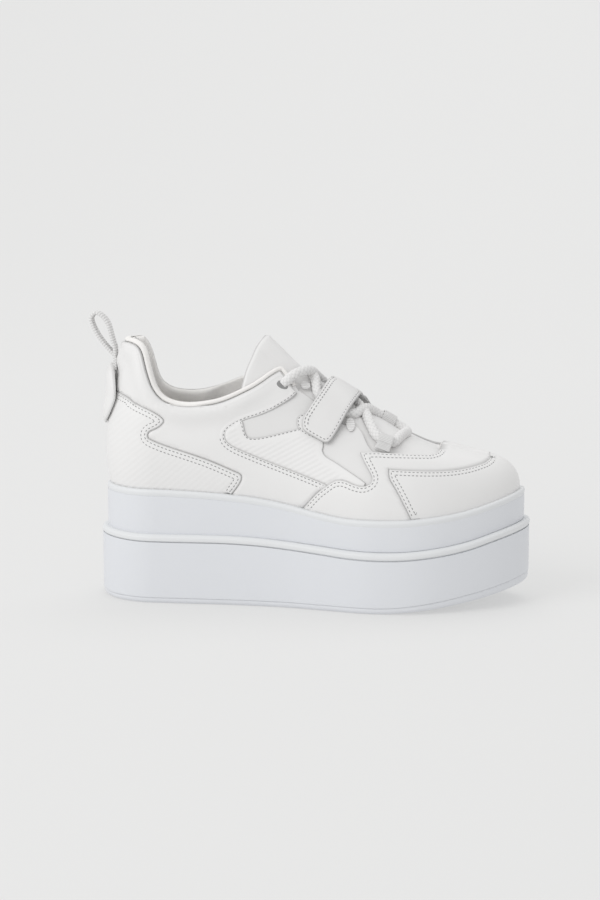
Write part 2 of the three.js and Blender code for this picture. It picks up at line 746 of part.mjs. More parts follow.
// Tube through points in space
function tube(points, radius, sides, steps) {
  const ring = Array.from({ length: sides }, (_, i) => {
    const turn = ((i + 0.5) / sides) * Math.PI * 2;
    return new THREE.Vector2(Math.cos(turn) * radius, Math.sin(turn) * radius);
  });
  return solidOf(new THREE.ExtrudeGeometry(new THREE.Shape(ring), {
    steps,
    extrudePath: new THREE.CatmullRomCurve3(points, false, 'centripetal'),
    bevelEnabled: false,
  }));
}

const cordPoints = (rows) => rows.map(({ x, y, lift }) => onSkin(...seek(x, y), lift));

// Sole: each piece is a loft through the rows of its profile, from its foot up
const treadThick = (x) => (
  OUTSOLE + OUTSOLE_TOE * THREE.MathUtils.clamp((shareOf(x) - THICK_FROM) / (1 - THICK_FROM), 0, 1)
);
const treadTop = (x) => treadHeight(x) + treadThick(x);
const lowerBead = (x) => lowerLip(x) - LOWER_BEAD;
const upperBead = (x) => upperLip(x) - UPPER_BEAD;
const lowerWall = (x) => (treadTop(x) + lowerBead(x)) / 2;
const upperWall = (x) => (lowerLip(x) + upperBead(x)) / 2;
const CUP_INSET = FEATHER + COVER - CLEAR;
const INSOLE_INSET = FEATHER + COVER + WALL + CLEAR;
const cupFloor = (x) => upperLip(x) - CUP_DEPTH;

const OUTSOLE_PROFILE = [
  { level: treadHeight, up: 0, inset: 3.2 },
  { level: treadHeight, up: 0.5, inset: 1.6 },
  { level: treadHeight, up: 2, inset: 0.6 },
  { level: treadTop, up: 0, inset: 0.5 },
];
const LOWER_PROFILE = [
  { level: treadTop, up: CLEAR, inset: 0.9 },
  { level: treadTop, up: CLEAR + 0.9, inset: 0.2 },
  { level: lowerWall, up: 0, inset: 0 },
  { level: lowerBead, up: 0, inset: 0.2 },
  { level: lowerBead, up: 0.3, inset: 0.2 + GROOVE_DEPTH },
  { level: lowerBead, up: 0.9, inset: 0.2 + GROOVE_DEPTH },
  { level: lowerBead, up: 1.3, inset: -0.1 },
  { level: lowerBead, up: LOWER_BEAD * 0.55, inset: -0.3 },
  { level: lowerLip, up: -0.9, inset: 0.6 },
  { level: lowerLip, up: 0, inset: TIER_STEP - 1 },
];
const UPPER_PROFILE = [
  { level: lowerLip, up: CLEAR, inset: TIER_STEP + 0.4 },
  { level: lowerLip, up: CLEAR + 0.6, inset: TIER_STEP },
  { level: upperWall, up: 0, inset: TIER_STEP - 0.1 },
  { level: upperBead, up: 0, inset: TIER_STEP + 0.2 },
  { level: upperBead, up: 0.5, inset: TIER_STEP - 0.2 },
  { level: upperLip, up: -1.6, inset: TIER_STEP - 0.2 },
  { level: upperLip, up: -0.3, inset: TIER_STEP + 0.5 },
  { level: upperLip, up: 0, inset: TIER_STEP + 1.6 },
  { level: upperLip, up: 0, inset: CUP_INSET - 0.8 },
];
const CUP_PROFILE = [
  { level: cupFloor, up: 0, inset: CUP_INSET },
  { level: upperLip, up: CUP_DEPTH, inset: CUP_INSET },
];
const INSOLE_PROFILE = [
  { level: cupFloor, up: CLEAR, inset: INSOLE_INSET + 0.4 },
  { level: cupFloor, up: CLEAR + 0.6, inset: INSOLE_INSET },
  { level: cupFloor, up: CLEAR + INSOLE - 0.8, inset: INSOLE_INSET },
  { level: cupFloor, up: CLEAR + INSOLE, inset: INSOLE_INSET + 1.2 },
];
// Room that the overlays leave above the lip, so that they stand clear of the sole
const LEDGE_PROFILE = [
  { level: upperLip, up: -6, inset: -2 },
  { level: upperLip, up: CLEAR, inset: -2 },
  { level: upperLip, up: CLEAR, inset: TIER_STEP + 1.6 },
  { level: upperLip, up: CLEAR, inset: CUP_INSET },
];
const lofted = (profile) => (
  loft(profile.map(({ level, up, inset }) => soleRing(inset, (x) => level(x) + up)))
);

// Cross groove of the tread, inside its rim
function treadGroove(x) {
  const s = shareOf(x);
  const outer = LUG_RIM - smooth(PLAN, 'outer', s) * BALL_WIDTH;
  const inner = smooth(PLAN, 'inner', s) * BALL_WIDTH - LUG_RIM;
  const bar = new THREE.BoxGeometry(LUG_GROOVE, inner - outer, LUG_DEPTH * 2);
  bar.translate(x, (inner + outer) / 2, treadHeight(x));
  return solidOf(bar);
}

// The groove nearest the middle is left out: the shoe's resting face is measured there
function outsole() {
  const span = LENGTH * (LUG_LAST - LUG_FIRST);
  const places = Array.from({ length: Math.ceil(span / LUG_PITCH) }, (_, i) => (
    LENGTH * (LUG_FIRST - 0.5) + i * LUG_PITCH
  )).filter((x) => Math.abs(x) > LUG_PITCH / 2);
  return places.reduce((body, x) => body.subtract(treadGroove(x)), lofted(OUTSOLE_PROFILE));
}

// Upper
const flat = (lift) => () => lift;

function lining(theta, c) {
  const p = skinPoint(theta, c);
  const high = ease((p.z - PLATFORM - COLLAR_HEIGHT * PAD_FOOT) / (COLLAR_HEIGHT * PAD_RISE));
  const rear = ease((LENGTH * PAD_FRONT - p.x) / (LENGTH * PAD_FADE));
  return -WALL - COLLAR_PAD * high * rear;
}

const skyward = (rows, front) => [
  ...rows,
  new THREE.Vector2(front, PLATFORM + COLLAR_HEIGHT * 2.4),
  new THREE.Vector2(-LENGTH * 0.7, PLATFORM + COLLAR_HEIGHT * 2.4),
];

const collarOuter = sideLine([...COLLAR_OUTER, ...COLLAR_TAB], false);
const collarInner = sideLine([...COLLAR_INNER, ...COLLAR_TAB], false);
const throatFront = LENGTH * (THROAT_END - 0.5);
const openingOf = (collar, throat) => skyward([...collar, ...sideLine(throat, false)], throatFront);
const opening = outerPrism(openingOf(collarOuter, THROAT_OUTER))
  .add(innerPrism(openingOf(collarInner, THROAT_INNER)));

// Channels that the lace takes through the two top eyelets
function eyelet(rows) {
  const [a, b] = cordPoints(rows.slice(0, 2));
  const reach = b.clone().sub(a).normalize().multiplyScalar(LACE_RADIUS * 2);
  return tube([a.clone().sub(reach), b.clone().add(reach)], LACE_RADIUS + CLEAR * 2, LACE_SIDES * 2, 1);
}

const eyelets = eyelet(LACE_LONG).add(eyelet(LACE_SHORT));

function upper() {
  return form(flat(0), UPPER_FOOT).subtract(form(lining, BELOW)).subtract(opening).subtract(eyelets);
}

// Overlays: slices between two lifts of the same form, cut by side view outlines
const ledge = lofted(LEDGE_PROFILE);
const slice = (low, high) => (
  form(flat(high), OVERLAY_FOOT).subtract(form(flat(low), BELOW)).subtract(ledge)
);

const counterLine = sideLine(COUNTER_LINE);
const windowLine = sideLine(WINDOW_LINE);
const patchLine = sideLine(PATCH_LINE);
const toeCapLine = sideLine(TOE_CAP_LINE);
const mudguardOuter = sideLine([...MUDGUARD_LINE, ...MUDGUARD_TOP_OUTER, ...MUDGUARD_REST]);
const mudguardInner = sideLine([...MUDGUARD_LINE, ...MUDGUARD_TOP_INNER, ...MUDGUARD_REST]);
const mudguardPrism = (gap) => (
  outerPrism(grown(mudguardOuter, gap)).add(innerPrism(grown(mudguardInner, gap)))
);

// Everything above a line that runs at one distance below the collar's edge
function bindingPrism(gap) {
  const wide = (collar) => (
    unfolded(skyward(collar, LENGTH * (PANEL_END - 0.5) - BINDING_WIDTH), BINDING_WIDTH - gap)
  );
  return outerPrism(wide(collarOuter)).add(innerPrism(wide(collarInner)));
}

function collarPanel() {
  return slice(CLEAR, CLEAR + COLLAR_PANEL)
    .intersect(bothPrism(windowLine))
    .subtract(opening)
    .subtract(bindingPrism(0))
    .subtract(bothPrism(grown(counterLine, CLEAR)))
    .subtract(mudguardPrism(CLEAR))
    .subtract(eyelets);
}

function collarBinding() {
  return slice(CLEAR, CLEAR + BINDING)
    .intersect(bindingPrism(CLEAR))
    .subtract(opening)
    .subtract(eyelets);
}

const heelCounter = () => slice(CLEAR, CLEAR + COUNTER).intersect(bothPrism(counterLine));

function sidePanel(sidePrism) {
  return slice(CLEAR, CLEAR + SKIN)
    .intersect(sidePrism(sideLine(SIDE_LINE)))
    .subtract(bothPrism(grown(windowLine, CLEAR)))
    .subtract(mudguardPrism(CLEAR))
    .subtract(outerPrism(grown(patchLine, CLEAR)));
}

function vampOverlay() {
  return slice(CLEAR, CLEAR + MUDGUARD)
    .intersect(mudguardPrism(0))
    .subtract(bothPrism(grown(toeCapLine, CLEAR)))
    .subtract(opening);
}

const toeCap = () => slice(CLEAR, CLEAR + TOE_CAP).intersect(bothPrism(toeCapLine));
const strapBase = () => slice(CLEAR, CLEAR + PATCH).intersect(outerPrism(patchLine));

// Tongue: its middle stands up at the peak and between the throat's edges, its sides lie inside the wall
function tongueLift(theta, c) {
  const x = LENGTH * (RIDGE_BACK + (RIDGE_FRONT - RIDGE_BACK) * alongOf(theta) - 0.5);
  const under = ease((x + 12) / 14);
  const forward = ease((x - 2) / 40);
  const front = ease((x - 62) / 20);
  const spread = ease((x - 2) / 14);
  const side = WALL + CLEAR;
  const crest = TONGUE_CREST * ease((-12 - x) / 12);
  const middle = TONGUE_PEAK + crest - (TONGUE_SINK + TONGUE_PEAK) * under - TONGUE_DIP * forward;
  const wide = theta <= 1 ? TONGUE_WIDE_OUTER * spread - 0.12 * front : TONGUE_WIDE_INNER * spread;
  return -side + (middle + side) * (1 - front) * ease((c - TONGUE_HIGH + wide) / TONGUE_SIDE);
}

function tongueBack(theta, c) {
  return tongueLift(theta, c) - TONGUE * (TONGUE_EDGE + (1 - TONGUE_EDGE) * ease((c - 0.3) / 0.4));
}

// The lace and its keepers press their shape into the soft tongue
function dents() {
  return laceTube(LACE_LONG, CLEAR)
    .add(laceTube(LACE_SHORT, CLEAR))
    .add(keeperSolid(LACE_LONG, KEEPER_OUTER, 1, CLEAR))
    .add(keeperSolid(LACE_SHORT, KEEPER_INNER, -1, CLEAR));
}

function tongue() {
  return form(tongueLift, TONGUE_FOOT)
    .subtract(form(tongueBack, BELOW))
    .intersect(bothPrism(sideLine(TONGUE_LINE)))
    .subtract(dents());
}

// Strap over the lace, close to the patch at its outer end and to the wall at its inner end
function strapLift(theta, c) {
  const end = theta <= 1 ? CLEAR + PATCH + CLEAR : CLEAR;
  return end + (STRAP_LIFT - end) * ease((c - STRAP_FROM) / STRAP_RAMP);
}

function strap() {
  const top = form((theta, c) => strapLift(theta, c) + STRAP, TONGUE_FOOT);
  const body = top.subtract(form(strapLift, BELOW));
  const outerEnd = body.intersect(outerPrism(sideLine(STRAP_OUTER)));
  const innerEnd = body.intersect(innerPrism(sideLine(STRAP_INNER)));
  return outerEnd.add(innerEnd);
}

function laceTube(rows, gap = 0) {
  const steps = Math.round((LACE_STEPS * rows.length) / LACE_LONG.length);
  return tube(cordPoints(rows), LACE_RADIUS + gap, LACE_SIDES, steps);
}

const lace = () => laceTube(LACE_LONG).add(laceTube(LACE_SHORT));

// Block of a webbing loop round the lace at one place of its route, with a tail to the throat's edge
function keeperSolid(rows, index, tailSide, gap) {
  const [before, here, after] = cordPoints(rows.slice(index - 1, index + 2));
  const normal = skinNormal(...seek(rows[index].x, rows[index].y));
  const run = after.sub(before).normalize();
  const down = new THREE.Vector3().crossVectors(run, normal).multiplyScalar(tailSide).normalize();
  const reach = LACE_RADIUS + CLEAR * 2 + WEBBING + gap;
  const tail = reach * KEEPER_TAIL;
  const base = -reach * KEEPER_DROP;
  const shape = new THREE.Shape();
  shape.absarc(0, 0, reach, 0.3, Math.PI * 2 - 0.45, false);
  shape.lineTo(tail, base - gap);
  shape.lineTo(tail, base + WEBBING + gap);
  const geometry = new THREE.ExtrudeGeometry(shape, {
    depth: KEEPER_WIDTH + gap * 2,
    curveSegments: 9,
    bevelEnabled: false,
  });
  geometry.translate(0, 0, -KEEPER_WIDTH / 2 - gap);
  const axis = new THREE.Vector3().crossVectors(down, normal);
  const up = new THREE.Vector3().crossVectors(axis, down);
  geometry.applyMatrix4(new THREE.Matrix4().makeBasis(down, up, axis).setPosition(here));
  return solidOf(geometry);
}

function keeper(rows, index, tailSide) {
  const radius = LACE_RADIUS + CLEAR * 2;
  const bore = new THREE.CylinderGeometry(radius, radius, KEEPER_WIDTH * 2, 12);
  const [before, here, after] = cordPoints(rows.slice(index - 1, index + 2));
  const run = after.sub(before).normalize();
  bore.applyQuaternion(new THREE.Quaternion().setFromUnitVectors(new THREE.Vector3(0, 1, 0), run));
  bore.translate(...here);
  return keeperSolid(rows, index, tailSide, 0)
    .subtract(solidOf(bore))
    .subtract(laceTube(rows, CLEAR));
}

// Small pad that follows the form from one lift to another; a lean tips it out towards its top
function pillow(pad, low, high, lean = 0) {
  const { around, up, halfAround, halfUp, rings, spokes } = pad;
  const positions = [];
  const layer = (lift) => {
    positions.push(...onSkin(around, up, lift(0) + lean / 2));
    for (let i = 1; i <= rings; i += 1) {
      const r = i / rings;
      for (let k = 0; k < spokes; k += 1) {
        const turn = (k / spokes) * Math.PI * 2;
        const theta = (around + halfAround * r * Math.cos(turn) + 2) % 2;
        const tilt = (lean * (1 + r * Math.sin(turn))) / 2;
        positions.push(...onSkin(theta, up + halfUp * r * Math.sin(turn), lift(r) + tilt));
      }
    }
  };
  layer(flat(low));
  layer((r) => low + (high - low) * (lean ? Math.sqrt(1 - 0.9 * r * r) : 1));
  const size = 1 + rings * spokes;
  const node = (base, i, k) => (i === 0 ? base : base + 1 + (i - 1) * spokes + (k % spokes));
  const triangles = [];
  for (let i = 0; i < rings; i += 1) {
    for (let k = 0; k < spokes; k += 1) {
      [0, size].forEach((base) => {
        const a = node(base, i, k);
        const b = node(base, i, k + 1);
        const c = node(base, i + 1, k + 1);
        const d = node(base, i + 1, k);
        const faces = a === b ? [[a, c, d]] : [[a, b, c], [a, c, d]];
        faces.forEach((face) => triangles.push(...(base ? face.reverse() : face)));
      });
    }
  }
  for (let k = 0; k < spokes; k += 1) {
    const a = node(0, rings, k);
    const b = node(0, rings, k + 1);
    triangles.push(a, b, b + size, a, b + size, a + size);
  }
  return solid(positions, triangles);
}

// A pad whose middle is given in plan
function padAt(pad) {
  const [around, up] = seek(pad.x, pad.y);
  return { ...pad, around, up };
}

// Pull loop: one strip of webbing folded into a drop, its two ends sewn together at the foot
function pullLoop() {
  const foot = PLATFORM + COLLAR_HEIGHT * LOOP_FOOT;
  const heel = LENGTH * (LOOP_HEEL - 0.5);
  const line = new THREE.CatmullRomCurve3(LOOP_LINE.map(({ back, up }) => (
    new THREE.Vector3(heel - back * LOOP_HEIGHT, foot + up * LOOP_HEIGHT, 0)
  )), true, 'centripetal').getSpacedPoints(LOOP_POINTS).slice(0, -1);
  const drop = line.map((p) => new THREE.Vector2(p.x, p.y));
  const across = (points) => prism(points, -LOOP_WIDTH / 2, LOOP_WIDTH / 2);
  const ring = across(grown(drop, LOOP_THICK / 2)).subtract(
    prism(unfolded(drop, -LOOP_THICK / 2), -LOOP_WIDTH, LOOP_WIDTH),
  );
  const root = [
    new THREE.Vector2(heel - LOOP_THICK * 1.7, foot),
    new THREE.Vector2(heel, foot),
    new THREE.Vector2(heel, foot + LOOP_HEIGHT * 0.2),
    new THREE.Vector2(heel - LOOP_THICK * 0.6, foot + LOOP_HEIGHT * 0.3),
    new THREE.Vector2(heel - LOOP_THICK * 1.7, foot + LOOP_HEIGHT * 0.26),
  ];
  return ring.add(across(root));
}

const tongueTab = padAt(TONGUE_TAB);
const onTongue = tongueLift(tongueTab.around, tongueTab.up) + CLEAR * 1.6;
const onCounter = CLEAR + COUNTER + CLEAR;
const shoe = new THREE.Group();

function add(name, manifold, color, roughness) {
  const material = new THREE.MeshStandardMaterial({ color, roughness, metalness: 0 });
  const mesh = new THREE.Mesh(geometryOf(manifold), material);
  mesh.name = name;
  shoe.add(mesh);
}

const LEATHER = 0xe9e7e3;
const RIBBED = 0xe6e4e0;
const RUBBER = 0xe7eaee;
const LINING = 0xd9d4cc;
const CORD = 0xf1f0ec;

add('outsole', outsole(), RUBBER, 0.6);
add('lower_platform', lofted(LOWER_PROFILE), RUBBER, 0.55);
add('upper_platform', lofted(UPPER_PROFILE).subtract(lofted(CUP_PROFILE)), RUBBER, 0.55);
add('insole', lofted(INSOLE_PROFILE), LINING, 0.9);
add('upper', upper(), LEATHER, 0.6);
add('tongue', tongue(), LEATHER, 0.65);
add('collar_panel', collarPanel(), LEATHER, 0.55);
add('collar_binding', collarBinding(), LINING, 0.7);
add('heel_counter', heelCounter(), RIBBED, 0.65);
add('side_panel_outer', sidePanel(outerPrism), RIBBED, 0.65);
add('side_panel_inner', sidePanel(innerPrism), RIBBED, 0.65);
add('vamp_overlay', vampOverlay(), LEATHER, 0.55);
add('toe_cap', toeCap(), LEATHER, 0.55);
add('strap_base', strapBase(), LEATHER, 0.7);
add('strap', strap(), LEATHER, 0.55);
add('lace', lace(), CORD, 0.85);
add('keeper_outer', keeper(LACE_LONG, KEEPER_OUTER, 1), CORD, 0.8);
add('keeper_inner', keeper(LACE_SHORT, KEEPER_INNER, -1), CORD, 0.8);
add('tongue_tab', pillow(tongueTab, onTongue, onTongue + PATCH), CORD, 0.8);
add('lace_tab', pillow(padAt(LACE_TAB), CLEAR, CLEAR + WEBBING), CORD, 0.85);
add('heel_pad', pillow(HEEL_PAD, onCounter, onCounter + PAD_THICK, PAD_LEAN), LEATHER, 0.55);
add('pull_loop', pullLoop(), CORD, 0.8);

export default shoe;
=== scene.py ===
"""A leather platform sneaker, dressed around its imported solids.

X runs from heel to toe and the outer side of the foot is -Y. The form is worked out in millimetres."""

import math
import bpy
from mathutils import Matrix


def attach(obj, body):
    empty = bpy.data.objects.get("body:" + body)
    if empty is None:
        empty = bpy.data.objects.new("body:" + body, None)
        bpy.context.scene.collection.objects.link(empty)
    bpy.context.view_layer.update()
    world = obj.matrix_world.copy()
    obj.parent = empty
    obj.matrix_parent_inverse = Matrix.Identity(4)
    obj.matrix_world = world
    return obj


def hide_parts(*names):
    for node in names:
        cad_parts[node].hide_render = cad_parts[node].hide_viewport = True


bl_info = {
    "name": "Platform Sneaker",
    "version": (1, 0, 0),
    "blender": (4, 5, 0),
    "location": "3D View > Sidebar > Sneaker",
    "description": "Builds a platform sneaker of leather, rubber, webbing and rope",
    "category": "Add Mesh",
}

import bmesh
import bpy
import numpy as np
from mathutils import Vector, kdtree
from mathutils.geometry import delaunay_2d_cdt

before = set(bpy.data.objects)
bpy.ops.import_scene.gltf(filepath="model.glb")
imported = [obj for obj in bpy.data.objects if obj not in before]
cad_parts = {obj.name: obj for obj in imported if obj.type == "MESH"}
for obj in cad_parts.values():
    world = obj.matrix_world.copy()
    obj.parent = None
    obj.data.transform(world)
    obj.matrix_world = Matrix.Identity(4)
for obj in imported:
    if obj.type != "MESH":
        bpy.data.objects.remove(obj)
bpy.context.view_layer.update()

MM = 0.001
# Sides of the shoe: True is the outer one, False the inner one
BOTH = (True, False)
# Lace: distance of the points of its middle, one turn of its braid, strands that wind each way
LACE_STEP, BRAID_PITCH, BRAID_STRANDS = 0.3, 6.4, 3
# A stitch: length as a share of the pitch, width, height
STITCH_LENGTH, STITCH_WIDTH, STITCH_HEIGHT = 0.6, 0.62, 0.28
# An overlay goes under the next one by the tuck and sinks there to a low height over the reach of the dive
TUCK, DIVE, SUNK_HEIGHT, UNDERSIDE, EDGE_FOOT = 1.5, 0.85, 0.45, 0.05, 0.3
# Width of the bare band between the top line and the ankle panel, and of the piping on it
BAND, PIPING = 3.2, 3.3
# How far the painted shade along a free edge reaches, and shares of its radius where the mesh gets points
EDGE_SHADE_REACH, EDGE_RINGS = 0.55, (0.05, 0.17, 0.4, 0.7, 1.05)
# Lines of the mesh across the rim of a covering piece, and across a stitched row
RIM_LINES, ROW_LINES = (0.8, 0.4, 0.0, -0.5), (-0.45, 0, 0.45)
# Share of the spacing that a mesh point keeps from an edge, and the breaks of a stitched row that are closed
APART, SHORT_BREAK = 0.45, 5
# Row of a sole piece from which its rubber is painted paler, a painted highlight on the top rim of each tier;
# this number is past them all, for a piece without the highlight
NO_LIP_HIGHLIGHT = 99
# Camera of the photo: degrees, metres
AZIMUTH, ELEVATION, DISTANCE, TARGET = 6, 8.5, 1.38711, (-0.00953, 0, 0.09609)
# Floor in metres: where it starts to rise, radius of the rise, height of its back edge, half width
FLOOR_BEND, FLOOR_RADIUS, FLOOR_HEIGHT, FLOOR_HALF = 1.6, 2.0, 4.4, 4.5
# Lamps: place, aim, diameter in metres, watts
LAMPS = (
    ("key", (-1.6, -1.6, 1.5), (0, 0, 0.08), 2.0, 23.0),
    ("top", (0.2, 1.7, 2.7), (0.2, 2.1, 0.3), 2.6, 20.0),
)


def table(columns, *rows):
    """A short table with named columns. Where a row leaves out its last value, the value is 0."""
    return {name: np.array([(*row, 0)[i] for row in rows], float) for i, name in enumerate(columns.split())}


# Half widths of the lower tier: share of the length from the heel, shares of the ball width
PLAN = table(
    "along outer inner",
    (0.00, 0.346, 0.346), (0.14, 0.353, 0.349), (0.23, 0.360, 0.346), (0.32, 0.367, 0.336),
    (0.45, 0.404, 0.342), (0.535, 0.461, 0.376), (0.64, 0.528, 0.435), (0.71, 0.537, 0.458),
    (0.78, 0.523, 0.458), (0.86, 0.496, 0.444), (1.00, 0.458, 0.421),
)
# Heights of the two lips as shares of the lower tier and of the platform
LIPS = table(
    "along low high",
    (0.00, 1.033, 1.012), (0.08, 1.004, 1.000), (0.16, 0.998, 0.998), (0.25, 1.000, 0.985),
    (0.31, 0.998, 0.970), (0.38, 0.982, 0.944), (0.45, 0.951, 0.901), (0.525, 0.915, 0.842),
    (0.58, 0.886, 0.811), (0.64, 0.872, 0.804), (0.70, 0.874, 0.806), (0.78, 0.914, 0.828),
    (0.86, 0.990, 0.872), (0.93, 1.103, 0.940), (1.00, 1.205, 1.015),
)
# Ridge of the instep: rise above the platform as a share of the collar height
RIDGE = table(
    "along rise",
    (0.179, 1.516), (0.286, 1.295), (0.386, 1.021), (0.471, 0.811), (0.543, 0.688), (0.632, 0.535),
    (0.693, 0.426), (0.750, 0.339), (0.786, 0.299), (0.821, 0.269), (0.861, 0.240), (0.893, 0.217),
)
RIDGE_BACK, RIDGE_FRONT = 0.193, 0.886
# Cross sections: two exponents, bulge and sideways place of the ridge as shares of the ball width
SECTIONS = table(
    "along up across bulge centre",
    (0.00, 2.4, 2.4, 0.030, 0.000), (0.20, 2.5, 2.4, 0.028, 0.000), (0.35, 2.2, 2.2, 0.024, 0.009),
    (0.50, 1.9, 2.0, 0.021, 0.028), (0.65, 1.9, 2.1, 0.017, 0.037), (0.80, 2.1, 2.2, 0.011, 0.047),
    (1.00, 2.2, 2.2, 0.003, 0.037),
)
BULGE_SPAN, BULGE_CURVE = 0.58, 0.75
# Inset of the upper in the sole, thickness of an overlay and of the shell, depth of the cup, footbed, clearance
FEATHER, COVER, WALL, CUP_DEPTH, INSOLE, CLEAR = 6.8, 1.6, 2.0, 8.6, 4.0, 0.3
# Step between the two tiers, heights of their lips, depth of the groove under the lower one
TIER_STEP, LOWER_BEAD, UPPER_BEAD, GROOVE_DEPTH = 3.5, 5.7, 4.4, 0.9

# Side view lines of the upper: share of the length from the heel, rise above the platform, 1 at a corner
COLLAR_TAB = ((0.404, 0.796), (0.425, 0.817), (0.443, 0.765), (0.464, 0.690))
COLLAR_OUTER = table(
    "along rise corner",
    (-0.060, 1.010, 1), (0.070, 1.008), (0.088, 1.001), (0.101, 0.988), (0.112, 0.960), (0.120, 0.918),
    (0.126, 0.861), (0.134, 0.782), (0.146, 0.695), (0.165, 0.630), (0.195, 0.597), (0.235, 0.593),
    (0.290, 0.620), (0.346, 0.690), (0.375, 0.738),
    *COLLAR_TAB,
)
COLLAR_INNER = table(
    "along rise corner",
    (-0.060, 1.010, 1), (0.070, 1.008), (0.086, 0.998), (0.096, 0.962), (0.104, 0.905), (0.111, 0.825),
    (0.119, 0.736), (0.131, 0.675), (0.151, 0.635), (0.180, 0.617), (0.220, 0.620), (0.269, 0.653),
    (0.316, 0.709), (0.362, 0.758),
    *COLLAR_TAB,
)
THROAT_OUTER = table(
    "along rise corner",
    (0.468, 0.668, 1), (0.500, 0.611), (0.532, 0.526), (0.571, 0.458), (0.604, 0.442), (0.620, 0.400),
    (0.636, 0.321), (0.657, 0.280), (0.721, 0.262), (0.773, 0.249), (0.788, 0.257), (0.795, 0.284),
    (0.800, 0.330, 1),
)
THROAT_INNER = table(
    "along rise corner",
    (0.468, 0.678, 1), (0.500, 0.640), (0.543, 0.585), (0.589, 0.525), (0.632, 0.464), (0.693, 0.362),
    (0.750, 0.278), (0.779, 0.252), (0.794, 0.262), (0.800, 0.330, 1),
)
COUNTER_LINE = table(
    "along rise corner",
    (-0.100, 0.655, 1), (0.014, 0.655), (0.072, 0.619), (0.096, 0.577), (0.142, 0.519), (0.163, 0.474),
    (0.162, 0.448), (0.150, 0.418), (0.131, 0.388), (0.129, 0.354), (0.139, 0.335), (0.171, 0.299),
    (0.260, 0.216), (0.323, 0.142), (0.342, 0.116), (0.345, 0.089), (0.339, 0.048), (0.321, -0.024, 1),
    (0.311, -0.084, 1), (-0.100, -0.084, 1),
)
WINDOW_LINE = table(
    "along rise corner",
    (-0.100, 1.600, 1), (0.470, 1.600, 1), (0.466, 0.705, 1), (0.465, 0.651), (0.456, 0.618),
    (0.437, 0.582), (0.409, 0.537), (0.381, 0.504), (0.352, 0.477), (0.329, 0.446), (0.312, 0.411),
    (0.306, 0.377), (0.310, 0.336), (0.327, 0.299), (0.360, 0.258), (0.412, 0.201), (0.472, 0.140),
    (0.532, 0.080), (0.545, 0.065, 1), (0.545, -0.200, 1), (-0.100, -0.200, 1),
)
SIDE_LINE = table(
    "along rise corner",
    (0.330, 0.500, 1), (0.345, 0.463, 1), (0.349, 0.421), (0.353, 0.384), (0.361, 0.362),
    (0.379, 0.360), (0.412, 0.378), (0.470, 0.419), (0.500, 0.430, 1), (0.529, 0.379, 1),
    (0.532, 0.319), (0.531, 0.282), (0.539, 0.249), (0.560, 0.216), (0.590, 0.166), (0.620, 0.114),
    (0.632, 0.089, 1), (0.620, 0.010, 1), (0.500, 0.040, 1), (0.290, 0.280, 1), (0.290, 0.450, 1),
)
MUDGUARD_ROWS = (
    (0.489, -0.094, 1), (0.519, 0.004), (0.539, 0.052), (0.556, 0.087), (0.570, 0.102), (0.588, 0.097),
    (0.605, 0.079), (0.626, 0.068), (0.642, 0.087), (0.646, 0.115), (0.642, 0.147), (0.627, 0.218),
    (0.616, 0.280, 1),
)
MUDGUARD_REST = ((1.100, 0.600, 1), (1.100, -0.400, 1), (0.470, -0.200, 1))
MUDGUARD_OUTER = table(
    "along rise corner",
    *MUDGUARD_ROWS,
    (0.666, 0.277), (0.723, 0.261), (0.773, 0.246, 1), (0.800, 0.600, 1),
    *MUDGUARD_REST,
)
MUDGUARD_INNER = table(
    "along rise corner",
    *MUDGUARD_ROWS,
    (0.664, 0.280, 1), (0.690, 0.600, 1),
    *MUDGUARD_REST,
)
TOE_CAP_LINE = table(
    "along rise corner",
    (0.682, 0.176, 1), (0.725, 0.167), (0.770, 0.158), (0.812, 0.153), (0.849, 0.158), (0.880, 0.171),
    (0.899, 0.185), (0.907, 0.211), (0.908, 0.300, 1), (1.100, 0.300, 1), (1.100, -0.400, 1),
    (0.760, -0.300, 1), (0.734, -0.142), (0.717, -0.042), (0.701, 0.043), (0.685, 0.118),
)
PATCH_LINE = table(
    "along rise corner",
    (0.471, 0.500), (0.469, 0.449), (0.476, 0.409), (0.487, 0.382), (0.530, 0.336), (0.545, 0.358, 1),
    (0.552, 0.440, 1), (0.500, 0.530, 1),
)
STRAP_OUTER = table(
    "along rise corner",
    (0.560, 1.100, 1), (0.538, 0.757), (0.530, 0.715), (0.508, 0.608), (0.486, 0.514), (0.482, 0.473),
    (0.484, 0.432), (0.493, 0.407), (0.512, 0.377), (0.530, 0.352), (0.540, 0.346), (0.550, 0.366),
    (0.572, 0.466), (0.589, 0.551), (0.604, 0.614), (0.608, 0.645), (0.640, 1.100, 1),
)
STRAP_INNER = table(
    "along rise corner",
    (0.560, 1.100, 1), (0.538, 0.757), (0.545, 0.600), (0.560, 0.440), (0.578, 0.320, 1),
    (0.662, 0.320, 1), (0.640, 0.440), (0.618, 0.560), (0.608, 0.645), (0.640, 1.100, 1),
)
TONGUE_LINE = table(
    "along rise corner",
    (0.386, 1.032, 1), (0.374, 0.980), (0.363, 0.905), (0.351, 0.821), (0.343, 0.737), (0.336, 0.632),
    (0.338, 0.480, 1), (0.460, 0.330), (0.570, 0.240), (0.680, 0.170), (0.790, 0.150),
    (0.828, 0.180, 1), (0.840, 0.600, 1), (0.500, 1.300, 1),
)
